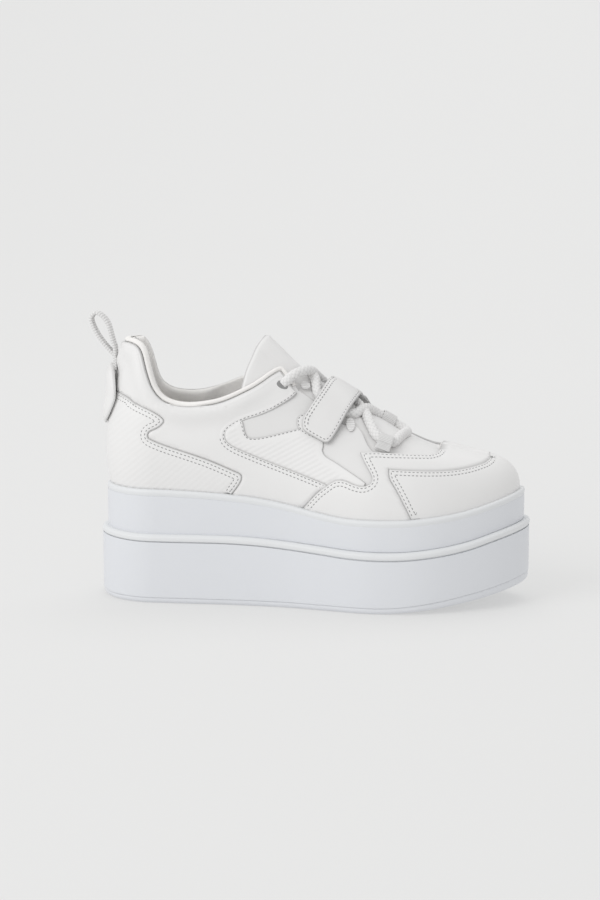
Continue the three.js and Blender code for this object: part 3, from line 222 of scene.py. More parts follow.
# Routes of the lace in plan, with the lift of its middle above the leather
LACE_LONG = table(
    "x y lift",
    (-18.6, -16.8, 0.2), (-14.0, -12.4, 4.4), (-8.8, -7.4, 5.0), (-3.2, -1.0, 3.6), (2.4, 6.0, 1.6),
    (11.0, 10.0, 0.0), (21.0, 8.0, -0.4), (29.0, 0.0, -0.6), (34.6, -9.5, -0.6), (36.8, -16.6, 0.2),
    (39.4, -22.6, 0.6), (42.8, -27.0, 0.6), (48.3, -28.8, 0.6), (53.6, -26.6, 0.3),
    (57.0, -19.0, -0.3), (59.6, -9.0, -0.6), (61.0, -1.0, -0.6), (60.4, 5.4, -0.6), (56.4, 8.0, -0.6),
)
LACE_SHORT = table(
    "x y lift",
    (-18.6, 18.4, 0.2), (-14.0, 14.0, 4.6), (-8.0, 9.0, 4.4), (-2.6, 3.0, 1.6), (1.2, -3.6, 0.8),
    (3.6, -12.0, 0.2), (8.0, -15.6, -0.4), (15.0, -17.0, -0.7), (22.0, -17.6, -0.7),
    (28.2, -15.6, -0.6), (32.2, -8.6, 0.0), (35.6, -1.6, 0.4), (40.6, 4.6, -0.4), (48.4, 7.6, -0.6),
    (56.4, 8.0, -0.6),
)
# Middle of the pull loop as shares of its height: up its rear side, over the top, down its front side
LOOP_LINE = table(
    "back up",
    (0.045, 0.235), (0.140, 0.350), (0.265, 0.494), (0.365, 0.642), (0.450, 0.826), (0.452, 0.921),
    (0.385, 0.989), (0.305, 0.963), (0.230, 0.900), (0.168, 0.803), (0.125, 0.661), (0.088, 0.511),
    (0.052, 0.368),
)

# Relief of the leather: middle in the side view, run, half width, depth
CREASES = table(
    "along rise run_x run_z half_width depth",
    (0.400, 0.560, 0.10, -0.02, 0.034, 0.55), (0.250, 0.440, 0.14, -0.10, 0.050, 0.45),
    (0.560, 0.230, 0.05, -0.12, 0.030, 0.30),
)
# Finely divided copies of the columns that have been read
DENSE = {}


def curve(rows, column, at):
    """Smooth value of one column of a table, read from a finely divided copy."""
    key = (id(rows), column)
    if key not in DENSE:
        fine = np.linspace(rows["along"][0], rows["along"][-1], 2401)
        DENSE[key] = fine, exact_curve(rows, column, fine)
    return np.interp(at, *DENSE[key])


def exact_curve(rows, column, at):
    """Smooth value of one column of a table between its rows."""
    along, value = rows["along"], rows[column]
    width = np.diff(along)
    slope = np.diff(value) / width
    knot = np.empty_like(value)
    knot[0], knot[-1] = slope[0], slope[-1]
    knot[1:-1] = (slope[:-1] * width[1:] + slope[1:] * width[:-1]) / (width[1:] + width[:-1])
    at = np.clip(at, along[0], along[-1])
    i = np.clip(np.searchsorted(along, at, side="left") - 1, 0, len(width) - 1)
    t = (at - along[i]) / width[i]
    start = (1 + 2 * t) * (1 - t) ** 2 * value[i] + t * (1 - t) ** 2 * width[i] * knot[i]
    return start + t * t * (3 - 2 * t) * value[i + 1] + t * t * (t - 1) * width[i] * knot[i + 1]


def ease(t):
    """A soft step from 0 to 1."""
    t = np.clip(t, 0, 1)
    return t * t * (3 - 2 * t)


def unit(v):
    """Directions of length one."""
    return v / np.maximum(np.linalg.norm(v, axis=-1, keepdims=True), 1e-9)


def spline(points, steps, closed=False, corners=None):
    """Points of a smooth line through the given ones, with a kink at each corner."""
    points = np.asarray(points, float)
    count = len(points)
    corners = np.zeros(count) if corners is None else corners
    found = []
    for i in range(count if closed else count - 1):
        p1, p2 = points[i], points[(i + 1) % count]
        p0 = p1 if corners[i] or (not closed and i == 0) else points[i - 1]
        end = corners[(i + 1) % count] or (not closed and i == count - 2)
        p3 = p2 if end else points[(i + 2) % count]
        t = (np.arange(steps) / steps).reshape((-1,) + (1,) * (points.ndim - 1))
        found.append(
            0.5
            * (
                2 * p1
                + (p2 - p0) * t
                + (2 * p0 - 5 * p1 + 4 * p2 - p3) * t**2
                + (3 * p1 - p0 - 3 * p2 + p3) * t**3
            )
        )
    if not closed:
        found.append(points[-1:])
    return np.concatenate(found)


def evenly(points, pitch, closed=False):
    """The line's points again, one at each pitch along it."""
    points = np.asarray(points, float)
    if closed:
        points = np.vstack([points, points[:1]])
    run = np.concatenate([[0], np.cumsum(np.linalg.norm(np.diff(points[:, :3], axis=0), axis=1))])
    count = max(2, int(round(run[-1] / pitch)))
    at = np.linspace(0, run[-1], count + 1)
    found = np.stack([np.interp(at, run, points[:, k]) for k in range(points.shape[1])], axis=1)
    return found[:-1] if closed else found


def tree_of(points):
    """A tree for finding the nearest of many points."""
    tree = kdtree.KDTree(len(points))
    for i, p in enumerate(points):
        tree.insert(Vector(p), i)
    tree.balance()
    return tree


def flat_tree(points):
    """The same for points of the side view or the chart."""
    return tree_of(np.hstack([points, 0 * points[:, :1]]))


def gaps(tree, points):
    """Distances of points to the nearest of a tree."""
    return np.array([tree.find(Vector(p))[2] for p in points])


def flat_gaps(tree, points):
    return np.array([tree.find((p[0], p[1], 0))[2] for p in points])


def ringed(line):
    """An outline with its first point again at its end."""
    return np.vstack([line, line[:1]])


def quads(rows, wide, first=0, around=True, closed=False):
    """Faces of a grid of points. around joins the ends of each row, closed the last row to the first."""
    return [
        (
            first + i * wide + k,
            first + i * wide + (k + 1) % wide,
            first + (i + 1) % rows * wide + (k + 1) % wide,
            first + (i + 1) % rows * wide + k,
        )
        for i in range(rows if closed else rows - 1)
        for k in range(wide if around else wide - 1)
    ]


class Last:
    """The shoe's form in millimetres, worked out from the sizes in the sidebar."""

    def __init__(self, sizes):
        self.length = sizes.length / MM
        self.ball = sizes.ball_width / MM
        self.platform = sizes.platform / MM
        self.tier = sizes.lower_tier / MM
        self.collar = sizes.collar_height / MM
        self.spring = sizes.toe_spring / MM
        self.middle = self.ball * 0.037
        self.known = {}

    def share(self, x):
        """Share of the length from the heel."""
        return np.clip(x / self.length + 0.5, 0, 1)

    def lower_lip(self, x):
        return self.tier * curve(LIPS, "low", self.share(x))

    def upper_lip(self, x):
        return self.platform * curve(LIPS, "high", self.share(x))

    def tread(self, x):
        """Height of the tread, which rises at the toe and a little at the heel's edge."""
        toe = np.clip((self.share(x) - 0.655) / 0.345, 0, 1)
        heel = np.clip((0.05 - self.share(x)) / 0.05, 0, 1)
        return self.spring * toe**1.6 + 1.5 * heel**2

    def tread_top(self, x):
        return self.tread(x) + 4.5 + 1.8 * np.clip((self.share(x) - 0.7) / 0.3, 0, 1)

    def along(self, theta):
        """Share of the length at a place round the plan: 0 heel, 1 toe, and back on the inner side to 2."""
        turn = np.mod(theta, 2)
        side = np.where(turn <= 1, turn, 2 - turn)
        return (1 - np.cos(np.pi * side)) / 2

    def plan(self, theta):
        turn = np.mod(theta, 2)
        s = self.along(theta)
        back = np.clip(self.length * s / 40, 0, 1)
        front = np.clip(self.length * (1 - s) / 75, 0, 1)
        rounding = np.sqrt(1 - (1 - back) ** 2) * np.sqrt(1 - (1 - front) ** 2)
        half = np.where(turn <= 1, -curve(PLAN, "outer", s), curve(PLAN, "inner", s))
        return np.stack(
            [self.length * (s - 0.5), half * self.ball * rounding + 4 * ease((s - 0.6) / 0.4)], axis=-1
        )

    def outline(self, theta, inset):
        """The plan moved inward."""
        run = unit(self.plan(theta + 1e-3) - self.plan(theta - 1e-3))
        inward = np.stack([-run[..., 1], run[..., 0]], axis=-1)
        return self.plan(theta) + inward * np.asarray(inset)[..., None]

    def ridge_x(self, s):
        return self.length * (RIDGE_BACK + (RIDGE_FRONT - RIDGE_BACK) * s - 0.5)

    def skin(self, theta, c):
        """Outer face of the overlays. c is 0 at the lip and 1 at the ridge."""
        s = self.along(theta)
        foot, out = self.outline(theta, FEATHER), self.outline(theta, FEATHER - 1)
        xr = self.ridge_x(s)
        ridge = np.stack([xr, self.ball * curve(SECTIONS, "centre", s)], axis=-1)
        zr = self.platform + self.collar * curve(RIDGE, "rise", self.share(xr))
        zf = self.upper_lip(foot[..., 0])
        up = np.sin(np.clip(c, 0, 1) * np.pi / 2)
        reach = (1 - up ** curve(SECTIONS, "up", s)) ** (1 / curve(SECTIONS, "across", s))
        rise = (zr - zf) * up
        belly = np.sin(np.pi * np.clip(rise / (BULGE_SPAN * self.collar), 0, 1))
        swell = self.ball * curve(SECTIONS, "bulge", s) * np.maximum(belly, 0) ** BULGE_CURVE
        flat = ridge + (foot - ridge + (out - foot) * swell[..., None]) * reach[..., None]
        z = zf + rise + np.minimum(c, 0) * CUP_DEPTH
        return np.concatenate([flat, z[..., None]], axis=-1)

    def normal(self, theta, c):
        step = 2e-3
        low = np.minimum(c, 1 - step)
        along = self.skin(theta + step, low) - self.skin(theta - step, low)
        upward = self.skin(theta, low + step / 2) - self.skin(theta, low - step / 2)
        found = unit(np.cross(along, upward))
        at = RIDGE_BACK + (RIDGE_FRONT - RIDGE_BACK) * self.along(theta)
        fall = self.collar * (curve(RIDGE, "rise", at + step) - curve(RIDGE, "rise", at - step))
        top = unit(np.stack([-fall, 0 * fall, 0 * fall + self.length * 2 * step], axis=-1))
        return np.where((c > 1 - step)[..., None], top, found)

    def at(self, theta, c, lift):
        """A place above the leather, which lies one cover below the outer face."""
        theta, c = np.broadcast_arrays(np.asarray(theta, float), np.asarray(c, float))
        return self.skin(theta, c) + self.normal(theta, c) * (np.asarray(lift) - COVER)[..., None]

    def seek(self, x, y):
        """The place on the form over points of the plan view."""
        s = self.share(x)
        for _ in range(24):
            side = np.arccos(1 - 2 * s) / np.pi
            centre = self.ball * curve(SECTIONS, "centre", s)
            foot = self.outline(np.where(y < centre, side, 2 - side), FEATHER)
            across = np.clip((y - centre) / (foot[..., 1] - centre), 1e-4, 1)
            xr = self.ridge_x(s)
            s = np.clip(s + (x - xr - (foot[..., 0] - xr) * across) / self.length, 1e-4, 1 - 1e-4)
        side = np.arccos(1 - 2 * s) / np.pi
        theta = np.where(y < self.ball * curve(SECTIONS, "centre", s), side, 2 - side)
        up = (1 - across ** curve(SECTIONS, "across", s)) ** (1 / curve(SECTIONS, "up", s))
        return theta, np.arcsin(np.clip(up, 0, 1)) * 2 / np.pi

    def side_line(self, rows, closed=True, steps=8):
        """A side view line in millimetres, rounded between its corners."""
        x = self.length * (rows["along"] - 0.5)
        z = self.platform + self.collar * rows["rise"]
        return spline(np.stack([x, z], axis=1), steps, closed, rows["corner"])

    def trace(self, line, outer, lift):
        """The places of one side of the form that lie behind a side view line."""

        def theta(t):
            return t if outer else 2 - t

        def seen(t, c):
            return self.at(theta(t), c, lift)[..., [0, 2]]

        key = (outer, lift)
        if key not in self.known:
            t, c = np.meshgrid(np.linspace(0, 1, 90), np.linspace(-0.3, 1, 70), indexing="ij")
            found = seen(t, c).reshape(-1, 2)
            self.known[key] = flat_tree(found), t.ravel(), c.ravel()
        tree, t, c = self.known[key]
        nearest = [tree.find((x, z, 0))[1] for x, z in line]
        t, c = t[nearest], c[nearest]
        step = 1e-3
        for _ in range(9):
            p = seen(t, c)
            low = np.minimum(c, 1 - step)
            pt = (seen(np.minimum(t + step, 1), c) - p) / step
            pc = (seen(t, low + step) - seen(t, low)) / step
            a, b, d = (pt * pt).sum(1) + 1, (pt * pc).sum(1), (pc * pc).sum(1) + 1
            miss = line - p
            e, f = (pt * miss).sum(1), (pc * miss).sum(1)
            det = a * d - b * b
            t = np.clip(t + np.clip((d * e - b * f) / det, -0.05, 0.05), 0, 1)
            c = np.clip(c + np.clip((a * f - b * e) / det, -0.05, 0.05), -0.9, 1)
        return theta(t), c


class Chart:
    """A flat map of the form. Over the instep it goes from the outer to the inner side across the ridge."""

    # Chart units, nearly millimetres, for one unit of theta and of c
    WIDE, TALL = 300.0, 110.0

    def __init__(self, last, u, v, over=False):
        self.last, self.u, self.v, self.over = last, u, v, over

    def place(self, uv):
        """The form's two coordinates at chart points."""
        u, v = uv[..., 0] / self.WIDE, uv[..., 1] / self.TALL
        if not self.over:
            return u, v
        return np.where(v <= 1, u, 2 - u), np.where(v <= 1, v, 2 - v)

    def point(self, uv, lift):
        return self.last.at(*self.place(uv), lift)

    def normal(self, uv):
        return self.last.normal(*self.place(uv))

    def from_side(self, theta, c, outer):
        """Chart points of places on one side of the form."""
        if self.over:
            u, v = (theta, c) if outer else (2 - theta, 2 - c)
        else:
            middle = (self.u[0] + self.u[1]) / 2
            u, v = theta + 2 * np.round((middle - theta) / 2), c
        return np.stack([u * self.WIDE, v * self.TALL], axis=1)

    def outer(self, uv):
        """Which chart points are on the outer side."""
        return np.mod(self.place(uv)[0], 2) <= 1

    def shift(self, uv, move, lift):
        """Chart points moved by short vectors along the form."""
        step = 0.2
        du, dv = np.array([step, 0]), np.array([0, step])
        pu = (self.point(uv + du, lift) - self.point(uv - du, lift)) / (2 * step)
        pv = (self.point(uv + dv, lift) - self.point(uv - dv, lift)) / (2 * step)
        a, b, d = (pu * pu).sum(1) + 1e-6, (pu * pv).sum(1), (pv * pv).sum(1) + 1e-6
        e, f = (pu * move).sum(1), (pv * move).sum(1)
        det = a * d - b * b
        moved = uv + np.stack([(d * e - b * f) / det, (a * f - b * e) / det], axis=1)
        # Near the ridge, where the chart is pressed together, the way goes through the plan view
        if not self.over and self.u == (0.0, 2.0):
            top = uv[:, 1] > 0.8 * self.TALL
            aim = (self.point(uv, lift) + move)[top]
            theta, c = self.last.seek(aim[:, 0], aim[:, 1])
            moved[top] = np.stack([theta * self.WIDE, c * self.TALL], axis=1)
        return moved


def within(points, polygon):
    """Which points lie inside a closed outline."""
    x, y = points[:, 0], points[:, 1]
    found = np.zeros(len(points), bool)
    a, b = polygon, np.roll(polygon, -1, axis=0)
    for (x0, y0), (x1, y1) in zip(a, b):
        if y0 == y1:
            continue
        crossing = (y0 > y) != (y1 > y)
        found ^= crossing & (x < (x1 - x0) * (y - y0) / (y1 - y0) + x0)
    return found


def grown(line, gap):
    """A closed side view outline moved outward by a gap."""
    a, b = np.roll(line, 1, axis=0), np.roll(line, -1, axis=0)
    keep = np.linalg.norm(line - a, axis=1) > 1e-6
    line, a, b = line[keep], np.roll(line[keep], 1, axis=0), np.roll(line[keep], -1, axis=0)
    area = (line[:, 0] * b[:, 1] - b[:, 0] * line[:, 1]).sum()
    u, v = unit(line - a), unit(b - line)
    middle = unit(u + v)
    reach = gap * np.sign(area) / np.maximum(0.5, (middle * v).sum(1))
    return line + np.stack([middle[:, 1], -middle[:, 0]], axis=1) * reach[:, None]


def unfolded(line, gap):
    """A grown outline without the points that fold back towards the line."""
    moved = grown(line, gap)
    tree = flat_tree(evenly(ringed(line), 0.3))
    return moved[flat_gaps(tree, moved) > abs(gap) * 0.96]


def triangles_of(points, edges):
    """Points and triangles of the plane with the given edges in them."""
    made = delaunay_2d_cdt([Vector(p) for p in points], edges, [], 0, 1e-4)
    return np.array([tuple(v) for v in made[0]]), np.array(made[2], int).reshape(-1, 3)


def region(chart, lines, keep, lift):
    """Outline in the chart of the part of the form that keep accepts.

    lines are side view lines with their side; keep takes side view points and which are outer."""
    points, edges = [], []

    def chain(uv):
        first = len(points)
        points.extend(map(tuple, uv))
        edges.extend((first + i, first + i + 1) for i in range(len(uv) - 1))

    (u0, u1), (v0, v1) = chart.u, chart.v
    across = np.linspace(u0, u1, int((u1 - u0) * chart.WIDE / 1.5) + 2)
    upward = np.linspace(v0, v1, int((v1 - v0) * chart.TALL / 1.5) + 2)
    corners = [
        np.stack([across, 0 * across + v0], 1),
        np.stack([across, 0 * across + v1], 1),
        np.stack([0 * upward + u0, upward], 1),
        np.stack([0 * upward + u1, upward], 1),
    ]
    for edge in corners:
        chain(edge * [chart.WIDE, chart.TALL])
    for line, outer in lines:
        dense = evenly(line, 0.8)
        theta, c = chart.last.trace(dense, outer, lift)
        seen = chart.last.at(theta, c, lift)[:, [0, 2]]
        near = np.linalg.norm(seen - dense, axis=1) < 2.5
        uv = chart.from_side(theta, c, outer)
        for run in np.split(np.arange(len(uv)), np.nonzero(np.diff(near.astype(int)))[0] + 1):
            if near[run[0]] and len(run) > 1:
                chain(uv[run])
    verts, faces = triangles_of(points, edges)
    centres = verts[faces].mean(axis=1)
    u, v = centres[:, 0] / chart.WIDE, centres[:, 1] / chart.TALL
    ok = (u > u0) & (u < u1) & (v > v0) & (v < v1)
    ok &= keep(chart.point(centres, lift)[:, [0, 2]], chart.outer(centres))
    return boundary_loop(verts, faces[ok])


def boundary_loop(verts, faces):
    """The longest outline of a set of triangles, counter-clockwise."""
    halves = {}
    for face in faces:
        a, b, c = verts[face]
        turn = (b[0] - a[0]) * (c[1] - a[1]) - (c[0] - a[0]) * (b[1] - a[1])
        order = face if turn > 0 else face[::-1]
        for i in range(3):
            halves[(order[i], order[(i + 1) % 3])] = True
    after = {}
    for a, b in halves:
        if (b, a) not in halves:
            after.setdefault(a, []).append(b)
    best, best_size = None, 0
    while after:
        start = next(iter(after))
        loop, here = [start], start
        while after.get(here):
            step = after[here].pop()
            if not after[here]:
                del after[here]
            if step == start:
                break
            loop.append(step)
            here = step
        uv = verts[loop]
        area = 0.5 * abs((uv[:, 0] * np.roll(uv[:, 1], -1) - np.roll(uv[:, 0], -1) * uv[:, 1]).sum())
        if area > best_size:
            best, best_size = uv, area
    return best


class Edge:
    """Distances to the free edge of a piece."""

    def __init__(self, chart, loop, free, lift):
        self.chart, self.loop, self.free, self.lift = chart, loop, free, lift
        closed = ringed(loop)
        both = free & np.roll(free, -1)
        fine = [
            closed[i] + (closed[i + 1] - closed[i]) * t
            for i in range(len(loop))
            if both[i]
            for t in (0, 0.25, 0.5, 0.75)
        ]
        self.empty = not fine
        if not self.empty:
            self.tree = tree_of(chart.point(np.array(fine), lift))

    def away(self, points):
        if self.empty:
            return np.full(len(points), 1e3)
        return gaps(self.tree, points)

    def inward(self, distance):
        """The free edge moved inward, with the points that crowd in its corners left out (as a mask)."""
        places = self.chart.point(self.loop, self.lift)
        run = unit(np.roll(places, -1, axis=0) - np.roll(places, 1, axis=0))
        side = np.cross(self.chart.normal(self.loop), run)
        uv = self.loop
        for _ in range(2):
            uv = self.chart.shift(uv, side * distance / 2, self.lift)
        good = self.away(self.chart.point(uv, self.lift)) > distance * 0.93
        good &= self.chart.outer(uv) == self.chart.outer(self.loop)
        return uv, good & self.free


def thin_out(loop, spacing=0.25):
    """The outline without points that crowd each other."""
    kept = [0]
    for i in range(1, len(loop)):
        if np.linalg.norm(loop[i] - loop[kept[-1]]) > spacing or abs(loop[i][1] - Chart.TALL) < 1e-3:
            kept.append(i)
    if np.linalg.norm(loop[kept[-1]] - loop[0]) < spacing:
        kept.pop()
    return loop[kept]


def on_lines(chart, loop, lines, lift):
    """Which points of the outline lie on any of the side view lines."""
    seen, outer = chart.point(loop, lift)[:, [0, 2]], chart.outer(loop)
    found = np.zeros(len(loop), bool)
    for line, side in lines:
        near = flat_gaps(flat_tree(evenly(line, 0.2)), seen) < 0.3
        found |= near & (outer == side)
    return found


def mesh_object(name, verts, faces, attributes=None):
    """A mesh object from points in millimetres; attributes are values stored on its points."""
    mesh = bpy.data.meshes.new(name)
    mesh.from_pydata((np.asarray(verts) * MM).tolist(), [], [list(map(int, f)) for f in faces])
    for key, values in (attributes or {}).items():
        mesh.attributes.new(key, "FLOAT", "POINT").data.foreach_set("value", np.asarray(values, np.float32))
    mesh.validate()
    mesh.polygons.foreach_set("use_smooth", [True] * len(mesh.polygons))
    item = bpy.data.objects.new(name, mesh)
    bpy.context.scene.collection.objects.link(item)
    return item


def join_doubles(item, distance=0.02):
    """Joins points that lie on each other, so that rounded edges close."""
    work = bmesh.new()
    work.from_mesh(item.data)
    bmesh.ops.remove_doubles(work, verts=work.verts, dist=distance * MM)
    bmesh.ops.dissolve_degenerate(work, dist=1e-7, edges=work.edges)
    bmesh.ops.recalc_face_normals(work, faces=work.faces)
    work.to_mesh(item.data)
    work.free()
    item.data.polygons.foreach_set("use_smooth", [True] * len(item.data.polygons))
    return item


def rounded(away, radius, foot=0.0):
    """Height of a rounded edge at a distance from it, from its foot to 1."""
    t = 1 - np.clip(away / radius, 0, 1)
    return foot + (1 - foot) * np.sqrt(np.maximum(1 - t * t, 0))


def facts(chart, uv, xyz, away):
    """What top, bottom and extra are told of the points of a sheet."""
    return {"uv": uv, "xyz": xyz, "away": away, "outer": chart.outer(uv)}


def shell(name, chart, loop, free, top, bottom, radius, spacing, rows=(), lift=0.0, extra=None, marks=None):
    """A closed sheet on the form, with its free edge rounded.

    top and bottom give the lifts of its two faces, extra the values stored on its points. rows are distances
    from the free edge and marks chart points where the mesh gets points of its own."""
    edge = Edge(chart, loop, free, lift)
    points = [loop]
    widest = 0.4 * spacing
    for distance in sorted([radius * k for k in EDGE_RINGS] + list(rows)):
        uv, good = edge.inward(distance)
        good &= within(uv, loop)
        points.append(uv[good])
        widest = max(widest, distance)
    u0, v0 = loop.min(0)
    u1, v1 = loop.max(0)
    us = np.arange(u0, u1, spacing)
    vs = np.arange(v0, v1, spacing * 0.87)
    grid = np.array([(u + (k % 2) * spacing / 2, v) for k, v in enumerate(vs) for u in us])
    grid = grid[within(grid, loop)]
    places = chart.point(grid, lift)
    all_edge = Edge(chart, loop, np.ones(len(loop), bool), lift)
    clear = (edge.away(places) > widest + 0.35 * spacing) & (all_edge.away(places) > APART * spacing)
    if marks is not None:
        marks = marks[within(marks, loop)]
        on_form = chart.point(marks, lift)
        marks = marks[(edge.away(on_form) > widest + 0.2) & (all_edge.away(on_form) > 0.2)]
        clear &= gaps(tree_of(chart.point(marks, lift)), places) > APART * spacing
        points.append(marks)
    points.append(grid[clear])
    flat = np.concatenate(points)
    count = len(loop)
    edges = [(i, (i + 1) % count) for i in range(count)]
    uv, faces = triangles_of(flat, edges)
    faces = faces[within(uv[faces].mean(axis=1), loop)]
    a, b, c = uv[faces[:, 0]], uv[faces[:, 1]], uv[faces[:, 2]]
    turn = (b[:, 0] - a[:, 0]) * (c[:, 1] - a[:, 1]) - (c[:, 0] - a[:, 0]) * (b[:, 1] - a[:, 1])
    faces = np.where((turn > 0)[:, None], faces, faces[:, ::-1])
    used = np.unique(faces)
    renumber = np.full(len(uv), -1)
    renumber[used] = np.arange(len(used))
    uv, faces = uv[used], renumber[faces]
    base = chart.point(uv, np.full(len(uv), lift))
    away = edge.away(base)
    info = facts(chart, uv, base, away)
    high = chart.point(uv, top(info))
    low = chart.point(uv, bottom(info))
    total = len(uv)
    # Where a piece meets itself, at the ridge and at the ends of the chart, it needs no wall
    mirrored = (np.abs(uv[:, 1] - Chart.TALL) < 1e-2) & (not chart.over)
    if chart.u[1] - chart.u[0] == 2:
        for side in chart.u:
            mirrored |= np.abs(uv[:, 0] - side * Chart.WIDE) < 1e-2
    rim = [(a, b) for a, b in boundary_pairs(faces) if not (mirrored[a] and mirrored[b])]
    walls = [(a + total, b + total, b, a) for a, b in rim]
    attributes = {key: np.concatenate([v, v]) for key, v in (extra(info) if extra else {}).items()}
    # Painted shade stored on the points: dark along each free edge and on the walls and underside
    attributes["edge"] = np.concatenate([np.exp(-((away / EDGE_SHADE_REACH) ** 2)), np.ones(total)])
    item = mesh_object(
        name,
        np.vstack([high, low]),
        [*faces.tolist(), *(faces[:, ::-1] + total).tolist(), *walls],
        attributes,
    )
    return join_doubles(item)


def boundary_pairs(faces):
    """Edges that only one face has."""
    halves = set()
    for f in faces.tolist():
        for i in range(3):
            halves.add((f[i], f[(i + 1) % 3]))
    return [(a, b) for a, b in halves if (b, a) not in halves]


def free_runs(mask):
    """Ranges of indices of a closed ring that are marked, as lists in order."""
    count = len(mask)
    if mask.all():
        return [list(range(count)) + [0]]
    start = int(np.nonzero(~mask)[0][0])
    order = [(start + i) % count for i in range(count)]
    runs, run = [], []
    for i in order:
        if mask[i]:
            run.append(i)
        elif run:
            runs.append(run)
            run = []
    if run:
        runs.append(run)
    return [r for r in runs if len(r) > 3]


def seam(chart, loop, free, distance, top, where=None):
    """Lines of a stitched row inside the free edge: places with normals. Short breaks are closed."""
    edge = Edge(chart, loop, free, 0.0)
    uv, good = edge.inward(distance)
    base = chart.point(uv, 0.0)
    if where is not None:
        good = good & where(base)
    places = chart.point(uv, top(facts(chart, uv, base, np.full(len(uv), distance))))
    normals = chart.normal(uv)
    joined = []
    for run in free_runs(good):
        line = np.hstack([places[run], normals[run]])
        if joined and np.linalg.norm(joined[-1][-1, :3] - line[0, :3]) < SHORT_BREAK:
            joined[-1] = np.vstack([joined[-1], line])
        else:
            joined.append(line)
    return [line for line in joined if len(line) > 5]


def stitches(name, rows, pitch):
    """Threads of many stitched rows as one joined mesh."""
    ends = np.array([-1, -0.85, -0.4, 0.4, 0.85, 1])
    thick = np.array([0.3, 0.75, 1, 1, 0.75, 0.3])
    sides = 6
    turn = np.arange(sides) / sides * 2 * np.pi
    verts, faces = [], []
    for row in rows:
        step = evenly(row, pitch)
        start, end = step[:-1], step[1:]
        middle, normal = (start[:, :3] + end[:, :3]) / 2, unit(start[:, 3:] + end[:, 3:])
        run = unit(end[:, :3] - start[:, :3])
        side = np.cross(normal, run)
        for m, n, r, s in zip(middle, normal, run, side):
            first = len(verts)
            for e, k in zip(ends, thick):
                sink = -0.25 * STITCH_HEIGHT * e * e
                for a in turn:
                    verts.append(
                        m
                        + r * e * pitch * STITCH_LENGTH / 2
                        + s * math.cos(a) * k * STITCH_WIDTH / 2
                        + n * (math.sin(a) * k * STITCH_HEIGHT + sink)
                    )
            for i in range(len(ends) - 1):
                for k in range(sides):
                    a = first + i * sides + k
                    b = first + i * sides + (k + 1) % sides
                    faces.append((a, a + sides, b + sides, b))
            faces.append([first + k for k in range(sides)])
            faces.append([first + (len(ends) - 1) * sides + k for k in reversed(range(sides))])
    return mesh_object(name, verts, faces)


class Value:
    """A shader value that can stand in a Python expression."""

    def __init__(self, tree, socket):
        self.tree, self.socket = tree, socket

    def math(self, operation, *others):
        return node(self.tree, "ShaderNodeMath", {"operation": operation}, self, *others)

    def __add__(self, other):
        return self.math("ADD", other)

    def __mul__(self, other):
        return self.math("MULTIPLY", other)


def node(tree, kind, settings, *values, out=0, **named):
    """A node of one type: its settings first, then the values or links of its sockets."""
    made = tree.nodes.new(kind)
    for key, value in settings.items():
        setattr(made, key, value)
    named = {key.replace("_", " "): value for key, value in named.items()}
    return filled(tree, made, {**dict(enumerate(values)), **named}, out)


def filled(tree, made, sockets, out):
    """A node with its sockets set or linked, as the value of one of its outputs."""
    for key, value in sockets.items():
        if isinstance(value, Value):
            tree.links.new(value.socket, made.inputs[key])
        else:
            made.inputs[key].default_value = value
    return Value(tree, made.outputs[out])


def blend_colour(tree, factor, a, b):
    """A colour between two colours."""
    made = tree.nodes.new("ShaderNodeMix")
    made.data_type = "RGBA"
    return filled(tree, made, {0: factor, 6: a, 7: b}, 2)


def material(name, colour, roughness, gloss, paint, **constants):
    """A material; paint(tree, colour) gives what changes over the surface by socket name."""
    made = bpy.data.materials.new(name)
    made.use_nodes = True
    tree = made.node_tree
    shader = next(n for n in tree.nodes if n.type == "BSDF_PRINCIPLED")
    shader.inputs["Base Color"].default_value = (*colour, 1)
    shader.inputs["Roughness"].default_value = roughness
    shader.inputs["Specular IOR Level"].default_value = gloss
    for key, value in constants.items():
        shader.inputs[key.replace("_", " ")].default_value = value
    for key, value in paint(tree, (*colour, 1)).items():
        tree.links.new(value.socket, shader.inputs[key])
    return made


def object_place(tree):
    """The place on a piece, in metres."""
    return node(tree, "ShaderNodeTexCoord", {}, out=3)


def noise(tree, scale, detail):
    """Cloudy unevenness between 0 and 1."""
    return node(tree, "ShaderNodeTexNoise", {}, Vector=object_place(tree), Scale=scale, Detail=detail)


def grain(tree):
    """The fine cells of leather."""
    cells = node(
        tree,
        "ShaderNodeTexVoronoi",
        {"feature": "SMOOTH_F1"},
        Vector=object_place(tree),
        Scale=900.0,
        Smoothness=0.6,
    )
    return cells * 0.6 + noise(tree, 1400.0, 3.0) * 0.5


def bump(tree, height, distance, strength, under=None):
    """A normal raised by a height; under is the coarser relief below it."""
    extra = {"Normal": under} if under else {}
    return node(tree, "ShaderNodeBump", {}, Height=height, Distance=distance, Strength=strength, **extra)


def darker(colour, share):
    """A colour times a share, which may be over 1."""
    return (colour[0] * share, colour[1] * share, colour[2] * share, 1)


def mottled(tree, scale, detail, colour, low, high, amount=1):
    """A colour that wavers between two shades of itself."""
    factor = noise(tree, scale, detail)
    if amount != 1:
        factor = factor * amount
    return blend_colour(tree, factor, darker(colour, low), darker(colour, high))


def stored(tree, name):
    """A value stored on the points of a piece."""
    return node(tree, "ShaderNodeAttribute", {"attribute_name": name}, out=2)


def rib_wave(tree):
    """Height of the ribs between 0 and 1."""
    return (stored(tree, "rib") * (2 * math.pi)).math("SINE") * 0.5 + 0.5


def edge_shade(tree, tone, colour):
    """Painted shade: the leather is darker along its free edges and on its walls and underside, for the thin
    shadow line along each raised edge.
    """
    return blend_colour(tree, stored(tree, "edge") * 0.75, tone, darker(colour, 0.55))


